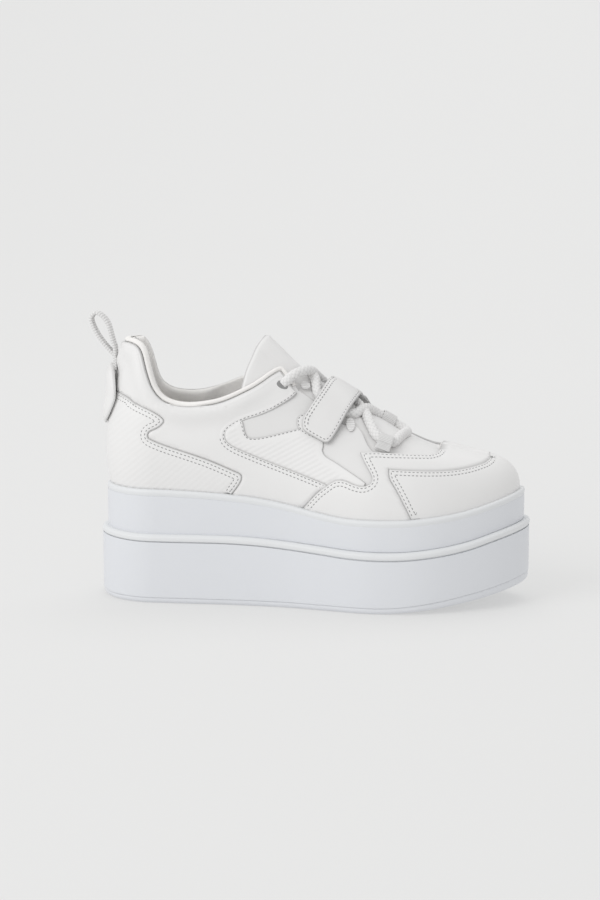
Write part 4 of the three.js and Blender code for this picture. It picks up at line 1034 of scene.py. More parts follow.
def leather_paint(tree, colour):
    """Fine grain over a soft unevenness of the hide, with painted shade along the edges."""
    return {
        "Base Color": edge_shade(tree, mottled(tree, 60.0, 3.0, colour, 0.975, 1.01, 0.7), colour),
        "Roughness": noise(tree, 90.0, 3.0) * 0.14 + 0.36,
        "Normal": bump(tree, grain(tree), 0.00005, 0.4, bump(tree, noise(tree, 26.0, 2.0), 0.0009, 0.5)),
    }


def ribbed_paint(tree, colour):
    """Pressed ribs that fade towards the edges, uneven in depth, with painted shade along the ribs and along
    the free edges.
    """
    wave, strength = rib_wave(tree), stored(tree, "rib_strength")
    soft = noise(tree, 40.0, 2.0) * 0.8 + 0.4
    # Painted shade that follows the ribs
    tone = blend_colour(tree, wave * strength, colour, darker(colour, 0.955))
    normal = bump(tree, wave * strength * soft, 0.0005, 0.6)
    return {
        "Base Color": edge_shade(tree, tone, colour),
        "Roughness": noise(tree, 90.0, 3.0) * 0.12 + 0.42,
        "Normal": bump(tree, grain(tree), 0.00005, 0.4, normal),
    }


def rubber_paint(tree, colour):
    """Moulded rubber, painted paler on the top rim of each tier, as a highlight."""
    tone = mottled(tree, 12.0, 2.0, colour, 0.99, 1.005)
    soft = bump(tree, noise(tree, 30.0, 1.0), 0.0004, 0.4)
    # Painted highlight: the top rim of each tier is paler
    pale = (colour[0] * 1.04, colour[1] * 1.035, colour[2] * 1.01, 1)
    return {
        "Base Color": blend_colour(tree, stored(tree, "lip_highlight"), tone, pale),
        "Roughness": noise(tree, 40.0, 2.0) * 0.1 + 0.42,
        "Normal": bump(tree, noise(tree, 1800.0, 3.0), 0.00003, 0.5, soft),
    }


def fabric_paint(tree, colour):
    """A fine weave."""
    weave = node(
        tree,
        "ShaderNodeTexWave",
        {"bands_direction": "DIAGONAL"},
        Vector=object_place(tree),
        Scale=420.0,
        Distortion=1.5,
    )
    return {
        "Base Color": mottled(tree, 500.0, 4.0, colour, 0.92, 1.03),
        "Normal": bump(tree, weave * 0.6 + noise(tree, 1500.0, 2.0) * 0.6, 0.00014, 0.6),
    }


def rope_paint(tree, colour):
    """The braid is painted darker between its strands, as shade in the grooves."""
    yarn = mottled(tree, 900.0, 4.0, colour, 0.95, 1.02)
    return {
        "Base Color": blend_colour(tree, stored(tree, "groove"), yarn, darker(colour, 0.78)),
        "Normal": bump(tree, noise(tree, 2200.0, 3.0), 0.00016, 0.8),
    }


def thread_paint(tree, colour):
    tone = mottled(tree, 1500.0, 2.0, colour, 0.85, 1.1)
    return {"Base Color": tone, "Normal": bump(tree, noise(tree, 2600.0, 2.0), 0.0001, 0.6)}


def webbing_paint(tree, colour):
    """Ribs of the weft, with painted shade between them."""
    wave = rib_wave(tree)
    return {
        "Base Color": blend_colour(tree, wave, darker(colour, 0.80), darker(colour, 1.02)),
        "Normal": bump(tree, wave * 0.8 + noise(tree, 1800.0, 2.0) * 0.3, 0.00035, 0.8),
    }


def floor_paint(tree, colour):
    return {"Base Color": mottled(tree, 2.0, 2.0, colour, 0.995, 1.005)}


def creases(last, info):
    """Soft troughs in the leather."""
    xyz = info["xyz"]
    found = np.zeros(len(xyz))
    for place, rise, run_x, run_z, half_width, depth in zip(*CREASES.values()):
        middle = np.array([last.length * (place - 0.5), last.platform + last.collar * rise])
        run = np.array([run_x * last.length, run_z * last.collar])
        size = np.linalg.norm(run)
        gap = xyz[:, [0, 2]] - middle
        along = gap @ (run / size) / size
        across = gap @ (np.array([-run[1], run[0]]) / size) / (half_width * last.length)
        found -= depth * np.exp(-across**2) * np.exp(-((along * 1.6) ** 2))
    return found


def wobble(xyz, size, amount):
    """Slow unevenness of hand-lasted leather."""
    a, b, c = xyz[:, 0] / size, xyz[:, 1] / size, xyz[:, 2] / size
    broad = np.sin(a * 1.3 + b * 0.7 + 1.1) * np.sin(c * 1.7 - a * 0.4 + 0.3)
    return amount * (broad + 0.5 * np.sin(a * 2.9 + c * 2.3))


class Workshop:
    """What every piece needs: the form, the side view shapes and the finishes."""

    made = None

    def __init__(self, context):
        sizes, colours = context.scene.sneaker_sizes, context.scene.sneaker_colours
        self.last = last = Last(sizes)
        self.pitch = sizes.stitch_pitch / MM
        self.lace_radius = sizes.lace_diameter / MM / 2
        far = last.platform + last.collar * 2.4
        sky = [(last.length * 0.3, far), (-last.length * 0.7, far)]

        def pair(outer, inner, closed=True):
            return {True: last.side_line(outer, closed), False: last.side_line(inner, closed)}

        self.collar = pair(COLLAR_OUTER, COLLAR_INNER, False)
        self.throat = pair(THROAT_OUTER, THROAT_INNER, False)
        self.opening = {s: np.vstack([self.collar[s], self.throat[s], sky]) for s in BOTH}
        above = [(last.length * (0.464 - 0.5) - 3, far), sky[1]]
        self.binding = {s: np.vstack([self.collar[s], above]) for s in BOTH}
        top_line = [last.at(*last.trace(evenly(self.collar[s], 1.5), s, 0.0), 0.0) for s in BOTH]
        self.collar_tree = tree_of(np.vstack(top_line))
        self.counter = last.side_line(COUNTER_LINE)
        self.window = last.side_line(WINDOW_LINE)
        self.side = last.side_line(SIDE_LINE)
        self.mudguard = pair(MUDGUARD_OUTER, MUDGUARD_INNER)
        self.toe = last.side_line(TOE_CAP_LINE)
        self.patch = last.side_line(PATCH_LINE)
        self.strap = pair(STRAP_OUTER, STRAP_INNER)
        self.tongue = last.side_line(TONGUE_LINE)
        # A copy of the leather 6% darker, as painted shade, for the shell of the upper and the strap
        shade = darker(colours.leather, 0.94)[:3]
        self.leather = material("white leather", colours.leather, 0.5, 0.45, leather_paint)
        self.shaded_leather = material("leather in painted shade", shade, 0.5, 0.45, leather_paint)
        self.ribbed = material("ribbed leather", colours.leather, 0.5, 0.4, ribbed_paint)
        self.rubber = material("moulded rubber", colours.rubber, 0.45, 0.4, rubber_paint)
        self.lining = material("textile lining", colours.lining, 0.85, 0.25, fabric_paint)
        self.rope = material("braided cotton", colours.cord, 0.85, 0.2, rope_paint)
        self.webbing = material("ribbed webbing", colours.cord, 0.8, 0.25, webbing_paint)
        self.thread = material("sewing thread", colours.thread, 0.7, 0.2, thread_paint)

    @classmethod
    def of(cls, context):
        """The one workshop of a build."""
        if cls.made is None:
            cls.made = cls(context)
        return cls.made

    def lace_line(self, rows):
        """The typed points of a lace, on the form."""
        return self.last.at(*self.last.seek(rows["x"], rows["y"]), rows["lift"])

    def cord(self, rows, step):
        """The middle of a lace, with a point at each step."""
        return evenly(spline(self.lace_line(rows), 16), step)

    def finish(self, item, finish, slot, *nodes, body="root"):
        """Gives a piece its material, its body and the solids that it stands for; the slot is not used."""
        item.data.materials.append(finish)
        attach(item, body)
        if nodes:
            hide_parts(*nodes)
        return item


def pick(xz, outer, shapes):
    """Which side view points lie inside the outline of their side."""
    return np.where(outer, within(xz, shapes[True]), within(xz, shapes[False]))


def ring_loft(last, name, rows, lip_highlight=NO_LIP_HIGHLIGHT, tread=None):
    """A sole piece lofted through its profile rows and capped at both ends.

    A row is level, height above it, inset and corner. From a given row on, the rubber is painted paler, as a
    highlight on the top rim."""
    steps, count, strips = 5, 420, 24
    theta = np.arange(count) / count * 2
    rings = []
    for level, up, inset, _ in rows:
        flat = last.outline(theta, np.full(count, float(inset)))
        rings.append(np.hstack([flat, (level(flat[:, 0]) + up)[:, None]]))
    rings = spline(np.array(rings), steps, False, [r[3] for r in rows])
    # Painted highlight on the top rim, from the given row on
    pale = spline(np.array([[float(k >= lip_highlight)] for k in range(len(rows))]), steps, False)[:, 0]
    total = len(rings)
    verts = rings.reshape(-1, 3)
    faces = quads(total, count)
    half = count // 2
    caps = []
    for ring, upward in ((0, False), (total - 1, True)):
        first = ring * count
        start = len(verts) + sum(len(c) for c in caps)
        grid = {}
        new = []
        for k in range(half + 1):
            a, b = rings[ring][k], rings[ring][(count - k) % count]
            for m in range(strips + 1):
                if m == 0:
                    grid[k, m] = first + k
                elif m == strips:
                    grid[k, m] = first + (count - k) % count
                elif k in (0, half):
                    grid[k, m] = first + k
                else:
                    p = a + (b - a) * m / strips
                    if tread is not None and not upward:
                        p = tread(p, np.linalg.norm(p - a), np.linalg.norm(p - b))
                    grid[k, m] = start + len(new)
                    new.append(p)
        caps.append(new)
        for k in range(half):
            for m in range(strips):
                quad = [grid[k, m], grid[k + 1, m], grid[k + 1, m + 1], grid[k, m + 1]]
                face = list(dict.fromkeys(quad))
                if len(face) > 2:
                    faces.append(face if upward else face[::-1])
    lip_highlights = np.clip(np.repeat(pale, count), 0, 1)
    verts = np.vstack([verts, *[np.array(c) for c in caps if len(c)]])
    lip_highlights = np.concatenate([lip_highlights, np.zeros(len(verts) - len(lip_highlights))])
    return mesh_object(name, verts, faces, {"lip_highlight": lip_highlights})


class SNEAKER_OT_stage(bpy.types.Operator):
    """Sets the camera, the pale floor and the soft lights"""

    bl_idname = "sneaker.stage"
    bl_label = "Stage"

    def execute(self, context):
        scene = context.scene
        colours = scene.sneaker_colours
        turn, pitch = math.radians(AZIMUTH), math.radians(ELEVATION)
        back = Vector((math.sin(turn) * math.cos(pitch), -math.cos(turn) * math.cos(pitch), math.sin(pitch)))
        lens = bpy.data.cameras.new("camera")
        lens.lens, lens.sensor_width = 85, 36
        lens.clip_start, lens.clip_end = 0.05, 50
        camera = bpy.data.objects.new("camera", lens)
        camera.location = Vector(TARGET) + back * DISTANCE
        camera.rotation_mode = "QUATERNION"
        camera.rotation_quaternion = (-back).to_track_quat("-Z", "Y")
        scene.collection.objects.link(camera)
        scene.camera = camera

        # A plain floor that rises softly behind the shoe
        profile = [(y, 0.0) for y in (-4.0, -2.0, -1.0, -0.3, 0.4, 1.0, FLOOR_BEND)]
        for a in np.linspace(0.1, math.pi / 2, 14):
            rise = FLOOR_RADIUS - FLOOR_RADIUS * math.cos(a)
            profile.append((FLOOR_BEND + FLOOR_RADIUS * math.sin(a), rise))
        profile.append((FLOOR_BEND + FLOOR_RADIUS, FLOOR_HEIGHT))
        across = np.linspace(-FLOOR_HALF, FLOOR_HALF, 19)
        verts = [(x, y, z) for y, z in profile for x in across]
        floor = mesh_object("floor", np.array(verts) / MM, quads(len(profile), len(across), around=False))
        glow = {"Emission_Color": (1, 1, 0.995, 1), "Emission_Strength": 0.4}
        floor.data.materials.append(material("floor", colours.floor, 0.9, 0.1, floor_paint, **glow))

        scene.view_settings.view_transform = "Standard"
        world = bpy.data.worlds.new("studio")
        world.use_nodes = True
        sky = world.node_tree.nodes["Background"]
        sky.inputs[0].default_value = (1.0, 1.0, 1.0, 1)
        sky.inputs[1].default_value = 0.74
        scene.world = world
        for name, place, aim, size, power in LAMPS:
            light = bpy.data.lights.new(name, "AREA")
            light.shape, light.size, light.energy = "DISK", size, power
            lamp = bpy.data.objects.new(name, light)
            lamp.location = place
            lamp.rotation_mode = "QUATERNION"
            lamp.rotation_quaternion = (Vector(aim) - Vector(place)).to_track_quat("-Z", "Y")
            scene.collection.objects.link(lamp)
        return {"FINISHED"}


class SNEAKER_OT_sole(bpy.types.Operator):
    """Builds the tread, the two tiers of the platform and the footbed"""

    bl_idname = "sneaker.sole"
    bl_label = "Sole"

    def execute(self, context):
        shop = Workshop.of(context)
        last = shop.last

        def lower_bead(x):
            return last.lower_lip(x) - LOWER_BEAD

        def upper_bead(x):
            return last.upper_lip(x) - UPPER_BEAD

        def cup_floor(x):
            return last.upper_lip(x) - CUP_DEPTH

        cup = FEATHER + COVER - CLEAR
        tread_rows = (
            (last.tread, 0, 3.2, 0),
            (last.tread, 0.5, 1.6, 0),
            (last.tread, 2, 0.6, 0),
            (last.tread_top, -0.4, 0.5, 1),
            (last.tread_top, 0.1, 1.1, 1),
        )
        lower_rows = (
            (last.tread_top, -0.1, 1.3, 1),
            (last.tread_top, 0.15, 0.45, 0),
            (last.tread_top, 0.7, 0.1, 0),
            (lambda x: (last.tread_top(x) + lower_bead(x)) / 2, 0, 0.0, 0),
            (lower_bead, -0.8, 0.1, 0),
            (lower_bead, -0.15, 0.35, 0),
            (lower_bead, 0.2, 0.2 + GROOVE_DEPTH, 1),
            (lower_bead, 0.8, 0.2 + GROOVE_DEPTH, 1),
            (lower_bead, 1.3, 0.1, 0),
            (lower_bead, 2.4, -0.3, 0),
            (lower_bead, 3.9, -0.25, 0),
            (last.lower_lip, -0.8, 0.5, 0),
            (last.lower_lip, -0.15, 1.5, 0),
            (last.lower_lip, 0, TIER_STEP, 1),
            (last.lower_lip, 0, TIER_STEP + 3, 1),
        )
        upper_rows = (
            (last.lower_lip, -0.2, TIER_STEP + 0.9, 1),
            (last.lower_lip, 0.25, TIER_STEP + 0.35, 0),
            (last.lower_lip, 0.9, TIER_STEP + 0.1, 0),
            (lambda x: (last.lower_lip(x) + upper_bead(x)) / 2, 0, TIER_STEP - 0.1, 0),
            (upper_bead, -0.9, TIER_STEP, 0),
            (upper_bead, 0, TIER_STEP + 0.12, 0),
            (upper_bead, 0.7, TIER_STEP + 0.02, 0),
            (upper_bead, 1.5, TIER_STEP - 0.2, 0),
            (last.upper_lip, -1.7, TIER_STEP - 0.25, 0),
            (last.upper_lip, -0.6, TIER_STEP + 0.3, 0),
            (last.upper_lip, -0.05, TIER_STEP + 1.3, 0),
            (last.upper_lip, 0, cup - 1.0, 0),
            (last.upper_lip, -0.5, cup, 1),
            (cup_floor, 0, cup, 1),
        )
        inset = FEATHER + COVER + WALL + CLEAR
        bed_rows = (
            (cup_floor, CLEAR, inset + 0.4, 1),
            (cup_floor, CLEAR + 0.6, inset, 0),
            (cup_floor, CLEAR + INSOLE - 1.2, inset, 0),
            (cup_floor, CLEAR + INSOLE - 0.2, inset + 0.5, 0),
            (cup_floor, CLEAR + INSOLE, inset + 1.8, 0),
            (cup_floor, CLEAR + INSOLE, inset + 4, 1),
        )
        places = last.length * (0.09 - 0.5) + np.arange(17) * 13

        def tread(p, outer, inner):
            """Cross grooves of the tread, inside its rim."""
            near = np.abs(places - p[0]).min()
            if abs(p[0]) < 6.5 or p[0] > last.length * 0.36 or p[0] < places[0] - 3:
                return p
            deep = 2 * (1 - ease((near - 1.1) / 1.0)) * ease((min(outer, inner) - 8) / 1.2)
            return p + np.array([0, 0, deep])

        for name, rows, lip_highlight, node_name, cut in (
            ("tread_sole", tread_rows, NO_LIP_HIGHLIGHT, "outsole", tread),
            ("lower_tier", lower_rows, 7, "lower_platform", None),
            ("upper_tier", upper_rows, 6, "upper_platform", None),
        ):
            item = ring_loft(last, name, rows, lip_highlight, tread=cut)
            shop.finish(item, shop.rubber, "sole_rubber", node_name)
        shop.finish(ring_loft(last, "footbed", bed_rows), shop.lining, "lining", "insole")
        return {"FINISHED"}


def collar_roll(shop, xyz):
    """The padding under the leather below the top line, and the soft hollow under it."""
    below = gaps(shop.collar_tree, xyz)
    rear = ease((shop.last.length * (0.45 - 0.5) - xyz[:, 0]) / (shop.last.length * 0.12))
    padding = 1.9 * np.exp(-(((below - 8.0) / 4.6) ** 2))
    return (padding - 0.8 * np.exp(-(((below - 18.0) / 6.0) ** 2))) * rear


def lining_lift(last, xyz):
    """Lift of the shell's inside, which is padded round the ankle."""
    high = ease((xyz[:, 2] - last.platform - last.collar * 0.30) / (last.collar * 0.26))
    rear = ease((last.length * -0.22 - xyz[:, 0]) / (last.length * 0.05))
    return -WALL - 4.5 * high * rear


def outer_leather(last, info):
    """Lift of the shell's outside, rounded over at the opening."""
    half = -lining_lift(last, info["xyz"]) / 2
    return -half + half * rounded(info["away"], half)


class SNEAKER_OT_upper(bpy.types.Operator):
    """Builds the hollow leather shell and its padded collar"""

    bl_idname = "sneaker.upper"
    bl_label = "Upper"

    def execute(self, context):
        shop = Workshop.of(context)
        last = shop.last
        chart = Chart(last, (0.0, 2.0), (-0.92, 1.0))
        lines = [(np.vstack([shop.collar[s], shop.throat[s]]), s) for s in BOTH]

        def keep(xz, outer):
            return ~pick(xz, outer, shop.opening)

        def outside(info):
            return outer_leather(last, info)

        def inside(info):
            half = -lining_lift(last, info["xyz"]) / 2
            return -half * (1 + rounded(info["away"], half))

        loop = thin_out(region(chart, lines, keep, 0.0))
        seam_free = (loop[:, 0] > 0.5) & (loop[:, 0] < 2 * Chart.WIDE - 0.5)
        free = on_lines(chart, loop, lines, 0.0) & seam_free
        item = shell("leather_upper", chart, loop, free, outside, inside, 2.6, spacing=2.2)
        join_doubles(item, 0.08)
        shop.finish(item, shop.shaded_leather, "leather", "upper")
        item.data.materials.append(shop.lining)
        slots = []
        for polygon in item.data.polygons:
            centre = np.array(polygon.center) / MM
            away = np.array(polygon.normal)
            outward = np.array([centre[0] * 0.15, centre[1] - last.middle, 0])
            slots.append(1 if away @ outward < 0 and centre[0] < last.length * 0.36 else 0)
        item.data.polygons.foreach_set("material_index", slots)
        return {"FINISHED"}


class SNEAKER_OT_panels(bpy.types.Operator):
    """Builds the overlays of the upper with their stitched rows"""

    bl_idname = "sneaker.panels"
    bl_label = "Panels"

    def execute(self, context):
        shop = Workshop.of(context)
        last = shop.last
        heel, toe = Chart(last, (-1.0, 1.0), (-0.05, 1.0)), Chart(last, (0.0, 2.0), (-0.05, 1.0))
        tucked_counter, tucked_toe = grown(shop.counter, -TUCK), grown(shop.toe, -TUCK)
        tucked_guard = {s: grown(shop.mudguard[s], -TUCK) for s in BOTH}
        tucked_window = grown(shop.window, -TUCK)
        band = {s: unfolded(shop.binding[s], BAND) for s in BOTH}

        def one(line):
            return {True: line, False: line}

        def build(name, chart, kept, cuts, free_lines, thick, radius, finish, slot, node_name, rows, **more):
            """An overlay inside one outline and outside others, with its stitched rows.

            free_lines are its sewn edges; a row is a distance from them and where it runs. more can hold
            puff, relief and roll of the surface, spacing of the mesh, extra values, only one side, weld of
            doubled points, plain free lines without a row and the outlines that cover the piece."""
            lines = [(ringed(shape[s]), s) for s in BOTH for shape in [kept, *cuts]]

            def keep(xz, outer):
                found = pick(xz, outer, kept)
                for cut in cuts:
                    found &= ~pick(xz, outer, cut)
                if more.get("only") is not None:
                    found &= outer == more["only"]
                return found

            loop = thin_out(region(chart, lines, keep, CLEAR))
            sewn = on_lines(chart, loop, free_lines, CLEAR)
            free = sewn | on_lines(chart, loop, more.get("plain", []), CLEAR)
            puff = more.get("puff", 0.4)
            covers = more.get("covers", [])
            rims, marks = [], []
            for shape in covers:
                for side in BOTH:
                    for gap in RIM_LINES:
                        line = evenly(ringed(grown(shape[side], gap)), 0.8)
                        theta, c = last.trace(line, side, CLEAR)
                        found = last.at(theta, c, CLEAR)
                        near = np.linalg.norm(found[:, [0, 2]] - line, axis=1) < 0.6
                        marks.append(chart.from_side(theta[near], c[near], side))
                        if gap == 0:
                            rims.append(found[near])
            rim_tree = tree_of(np.vstack(rims)) if rims else None

            def dive(info):
                """How far a piece goes down where the next one covers it."""
                if rim_tree is None:
                    return 0
                gap = gaps(rim_tree, info["xyz"])
                xz = info["xyz"][:, [0, 2]]
                for shape in covers:
                    gap = np.where(pick(xz, info["outer"], shape), -gap, gap)
                return ease((DIVE - gap) / DIVE)

            def top(info):
                away = info["away"]
                soft = puff * (1 - np.exp(-away / 5.0))
                if more.get("roll"):
                    soft = soft + more["roll"] * collar_roll(shop, info["xyz"])
                groove = sum(0.16 * np.exp(-(((away - d) / 0.5) ** 2)) for d, _ in rows)
                if len(rows) > 1:
                    between = (rows[0][0] + rows[1][0]) / 2
                    groove = groove - 0.22 * np.exp(-(((away - between) / 0.7) ** 2))
                height = thick * rounded(away, radius, EDGE_FOOT) + soft - groove
                uneven = creases(last, info) + wobble(info["xyz"], 14.0, 0.1)
                height = height + more.get("relief", 0) * uneven
                return CLEAR + height + (SUNK_HEIGHT - height) * dive(info)

            def bottom(info):
                return np.full(len(info["uv"]), UNDERSIDE)

            item = shell(
                name,
                chart,
                loop,
                free,
                top,
                bottom,
                radius,
                spacing=more.get("spacing", 1.9),
                rows=[d + k for d, _ in rows for k in ROW_LINES],
                lift=CLEAR,
                extra=more.get("extra"),
                marks=np.vstack(marks) if marks else None,
            )
            if more.get("weld"):
                join_doubles(item, 0.25)
            shop.finish(item, finish, slot, node_name)
            threads = []
            for distance, where in rows:
                threads += seam(chart, loop, sewn, distance, top, where)
            if threads:
                shop.finish(stitches("stitches_" + name, threads, shop.pitch), shop.thread, "cord")

        def on_both(line):
            return [(line, True), (line, False)]

        def ribs(direction, spacing, strength):
            """Values of the ribs, which end before the stitched edge."""
            across = np.array([-math.sin(direction), math.cos(direction)])

            def extra(info):
                clear = ease((info["away"] - 4.0) / 2.0)
                return {"rib": info["xyz"][:, [0, 2]] @ across / spacing, "rib_strength": clear * strength}

            return extra

        def lower(base):
            return base[:, 2] < last.platform + last.collar * 0.36

        def heel_free(base):
            return base[:, 2] > last.upper_lip(base[:, 0]) + 1.5

        build(
            "ribbed_counter",
            heel,
            one(shop.counter),
            [],
            on_both(shop.counter),
            2.0,
            0.9,
            shop.ribbed,
            "ribbed",
            "heel_counter",
            [(1.9, heel_free), (4.3, heel_free)],
            extra=ribs(math.radians(40), 3.1, 0.30),
            relief=0.6,
            puff=0.5,
        )
        build(
            "ankle_panel",
            heel,
            one(shop.window),
            [shop.opening, band, one(tucked_counter), tucked_guard],
            on_both(shop.window),
            1.4,
            0.9,
            shop.leather,
            "leather",
            "collar_panel",
            [(1.3, heel_free), (3.4, lambda b: heel_free(b) & lower(b))],
            relief=1.0,
            puff=0.4,
            roll=1.0,
            plain=[(band[s], s) for s in BOTH],
            covers=[one(shop.counter), shop.mudguard],
        )
        for side, name, node_name in (
            (True, "ribbed_side_outer", "side_panel_outer"),
            (False, "ribbed_side_inner", "side_panel_inner"),
        ):
            build(
                name,
                heel,
                one(shop.side),
                [one(tucked_window), tucked_guard],
                on_both(shop.side),
                0.8,
                0.5,
                shop.ribbed,
                "ribbed",
                node_name,
                [(1.0, lambda b: b[:, 2] > last.platform + last.collar * 0.33)],
                extra=ribs(math.radians(28), 2.9, 0.6),
                only=side,
                puff=0.2,
                spacing=1.3,
                covers=[one(shop.window), shop.mudguard],
            )
        build(
            "mudguard",
            toe,
            shop.mudguard,
            [shop.opening, one(tucked_toe)],
            [(shape[s], s) for shape in (shop.mudguard, shop.throat) for s in BOTH],
            1.6,
            0.9,
            shop.leather,
            "leather",
            "vamp_overlay",
            [(1.6, heel_free), (3.8, heel_free)],
            relief=0.8,
            puff=0.4,
            weld=True,
            covers=[one(shop.toe)],
        )
        build(
            "toe_piece",
            toe,
            one(shop.toe),
            [],
            on_both(shop.toe),
            1.5,
            0.9,
            shop.leather,
            "leather",
            "toe_cap",
            [(1.6, heel_free), (3.8, heel_free)],
            relief=0.3,
            puff=0.2,
            weld=True,
        )
        build(
            "strap_patch",
            heel,
            one(shop.patch),
            [],
            on_both(shop.patch),
            0.9,
            0.5,
            shop.leather,
            "leather",
            "strap_base",
            [(1.0, None)],
            only=True,
            puff=0.1,
            spacing=1.3,
        )
        return {"FINISHED"}


class SNEAKER_OT_collar(bpy.types.Operator):
    """Builds the piping along the collar"""

    bl_idname = "sneaker.collar"
    bl_label = "Collar piping"

    def execute(self, context):
        shop = Workshop.of(context)
        last = shop.last
        places = []
        for outer in BOTH:
            line = shop.collar[outer]
            line = evenly(line[line[:, 0] > -last.length * 0.45], 1.0)
            theta, c = last.trace(line, outer, 0.0)
            seen = last.at(theta, c, 0.0)
            near = np.linalg.norm(seen[:, [0, 2]] - line, axis=1) < 0.6
            theta, c = theta[near], c[near]
            uv = np.stack([theta * Chart.WIDE, c * Chart.TALL], axis=1)
            if not outer:
                uv[:, 0] -= 2 * Chart.WIDE
            places.append(uv if outer else uv[::-1])
        line = np.vstack([places[1], places[0]])
        chart = Chart(last, (-1, 1), (0, 1))
        line = evenly(spline(line[::3], 4), 0.9)
        run = unit(np.gradient(chart.point(line, 0.0), axis=0))
        side = np.cross(chart.normal(line), run)
        inward = np.where((side[:, 2] < 0)[:, None], side, -side)
        rows = []
        over = [(k, 1.5) for k in np.linspace(0, 1, 13)]
        under = [(k, -0.3) for k in np.linspace(1, 0, 7)[1:-1]]
        for k, swell in over + under:
            uv = chart.shift(line, inward * (PIPING * k - 0.2), 0.0)
            info = {"xyz": chart.point(uv, 0.0), "away": np.full(len(uv), max(PIPING * k, 0.02))}
            arch = math.sqrt(max(0.0, 1 - (2 * k - 1) ** 2))
            rows.append(chart.point(uv, outer_leather(last, info) - 0.25 + swell * arch))
        grid = np.array(rows)
        around, count = grid.shape[:2]
        ends = [
            [i * count for i in range(around)],
            [i * count + count - 1 for i in reversed(range(around))],
        ]
        faces = ends + quads(around, count, around=False, closed=True)
        item = mesh_object("collar_piping", grid.reshape(-1, 3), faces)
        shop.finish(join_doubles(item), shop.lining, "lining", "collar_binding")
        return {"FINISHED"}


def tongue_top(last, uv, chart):
    """Lift of the tongue's outside: over the ankle, under the lace and the throat, thinner at its sides."""
    theta, c = chart.place(uv)
    x = last.ridge_x(last.along(theta))
    under, forward = ease((x + 12) / 14), ease((x - 2) / 40)
    front, spread = ease((x - 62) / 20), ease((x - 2) / 14)
    side = WALL + CLEAR
    middle = 1.5 + 1.7 * ease((-12 - x) / 12) - 2.3 * under - forward
    wide = np.where(theta <= 1, 0.24 * spread - 0.12 * front, 0.04 * spread)
    return -side + (middle + side) * (1 - front) * ease((c - 0.86 + wide) / 0.15)


class SNEAKER_OT_tongue(bpy.types.Operator):
    """Builds the padded tongue"""

    bl_idname = "sneaker.tongue"
    bl_label = "Tongue"

    def execute(self, context):
        shop = Workshop.of(context)
        last = shop.last
        chart = Chart(last, (0.05, 0.92), (0.1, 1.9), over=True)
        lines = [(ringed(shop.tongue), s) for s in BOTH]
        loop = thin_out(region(chart, lines, lambda xz, outer: within(xz, shop.tongue), 0.0))
        free = on_lines(chart, loop, lines, 0.0)
        laces = tree_of(np.vstack([shop.cord(LACE_LONG, 0.4), shop.cord(LACE_SHORT, 0.4)]))

        def thick(info):
            c = chart.place(info["uv"])[1]
            return 5.2 * (0.55 + 0.45 * ease((c - 0.3) / 0.4))

        def top(info):
            half = thick(info) / 2
            lift = tongue_top(last, info["uv"], chart)
            gap = gaps(laces, chart.point(info["uv"], lift))
            press = np.maximum(0, shop.lace_radius + 0.1 - gap) * 0.8
            soft = 0.3 * wobble(info["xyz"], 9.0, 1.0)
            return lift - half + half * rounded(info["away"], half) - press + soft * ease(info["away"] / 6)

        def bottom(info):
            half = thick(info) / 2
            return tongue_top(last, info["uv"], chart) - half - half * rounded(info["away"], half)

        item = shell("padded_tongue", chart, loop, free, top, bottom, 2.4, spacing=1.6)
        shop.finish(item, shop.leather, "leather", "tongue")
        return {"FINISHED"}


def strap_lift(theta, c):
    """Lift of the strap's underside: low at its two ends, over the lace in the middle."""
    end = np.where(theta <= 1, CLEAR + 0.9 + CLEAR, CLEAR)
    return end + (4.1 - end) * ease((c - 0.46) / 0.18)


class SNEAKER_OT_strap(bpy.types.Operator):
    """Builds the padded strap over the instep"""

    bl_idname = "sneaker.strap"
    bl_label = "Strap"

    def execute(self, context):
        shop = Workshop.of(context)
        last = shop.last
        chart = Chart(last, (0.2, 0.9), (0.1, 1.9), over=True)
        lines = [(ringed(shop.strap[s]), s) for s in BOTH]
        loop = thin_out(region(chart, lines, lambda xz, outer: pick(xz, outer, shop.strap), 4.0))
        free = np.ones(len(loop), bool)
        rows = (1.7, 3.7)

        def lift(info):
            return strap_lift(*chart.place(info["uv"]))

        def top(info):
            away = info["away"]
            soft = 0.7 * (1 - np.exp(-away / 4.0)) + 0.15 * wobble(info["xyz"], 8.0, 1.0)
            groove = 0.22 * np.exp(-(((away - rows[0]) / 0.5) ** 2))
            return lift(info) + 1.0 + 1.4 * rounded(away, 1.3) + soft * 0.6 - groove

        def bottom(info):
            return lift(info) + 1.0 - 1.0 * rounded(info["away"], 1.3)

        mesh_rows = (1.25, 1.7, 2.15, 3.3, 3.7)
        item = shell("instep_strap", chart, loop, free, top, bottom, 1.3, 1.4, mesh_rows, lift=4.0)
        shop.finish(item, shop.shaded_leather, "leather", "strap")
        threads = seam(chart, loop, free, rows[0], top)

        def rear(base):
            """The second row runs along the rear edge only."""
            slope = (0.538 - 0.486) / (0.757 - 0.514)
            rise = (base[:, 2] - last.platform) / last.collar
            return last.share(base[:, 0]) - 0.486 - slope * (rise - 0.514) < 0.028

        threads += seam(chart, loop, free, rows[1], top, rear)
        shop.finish(stitches("stitches_strap", threads, shop.pitch), shop.thread, "cord")
        return {"FINISHED"}


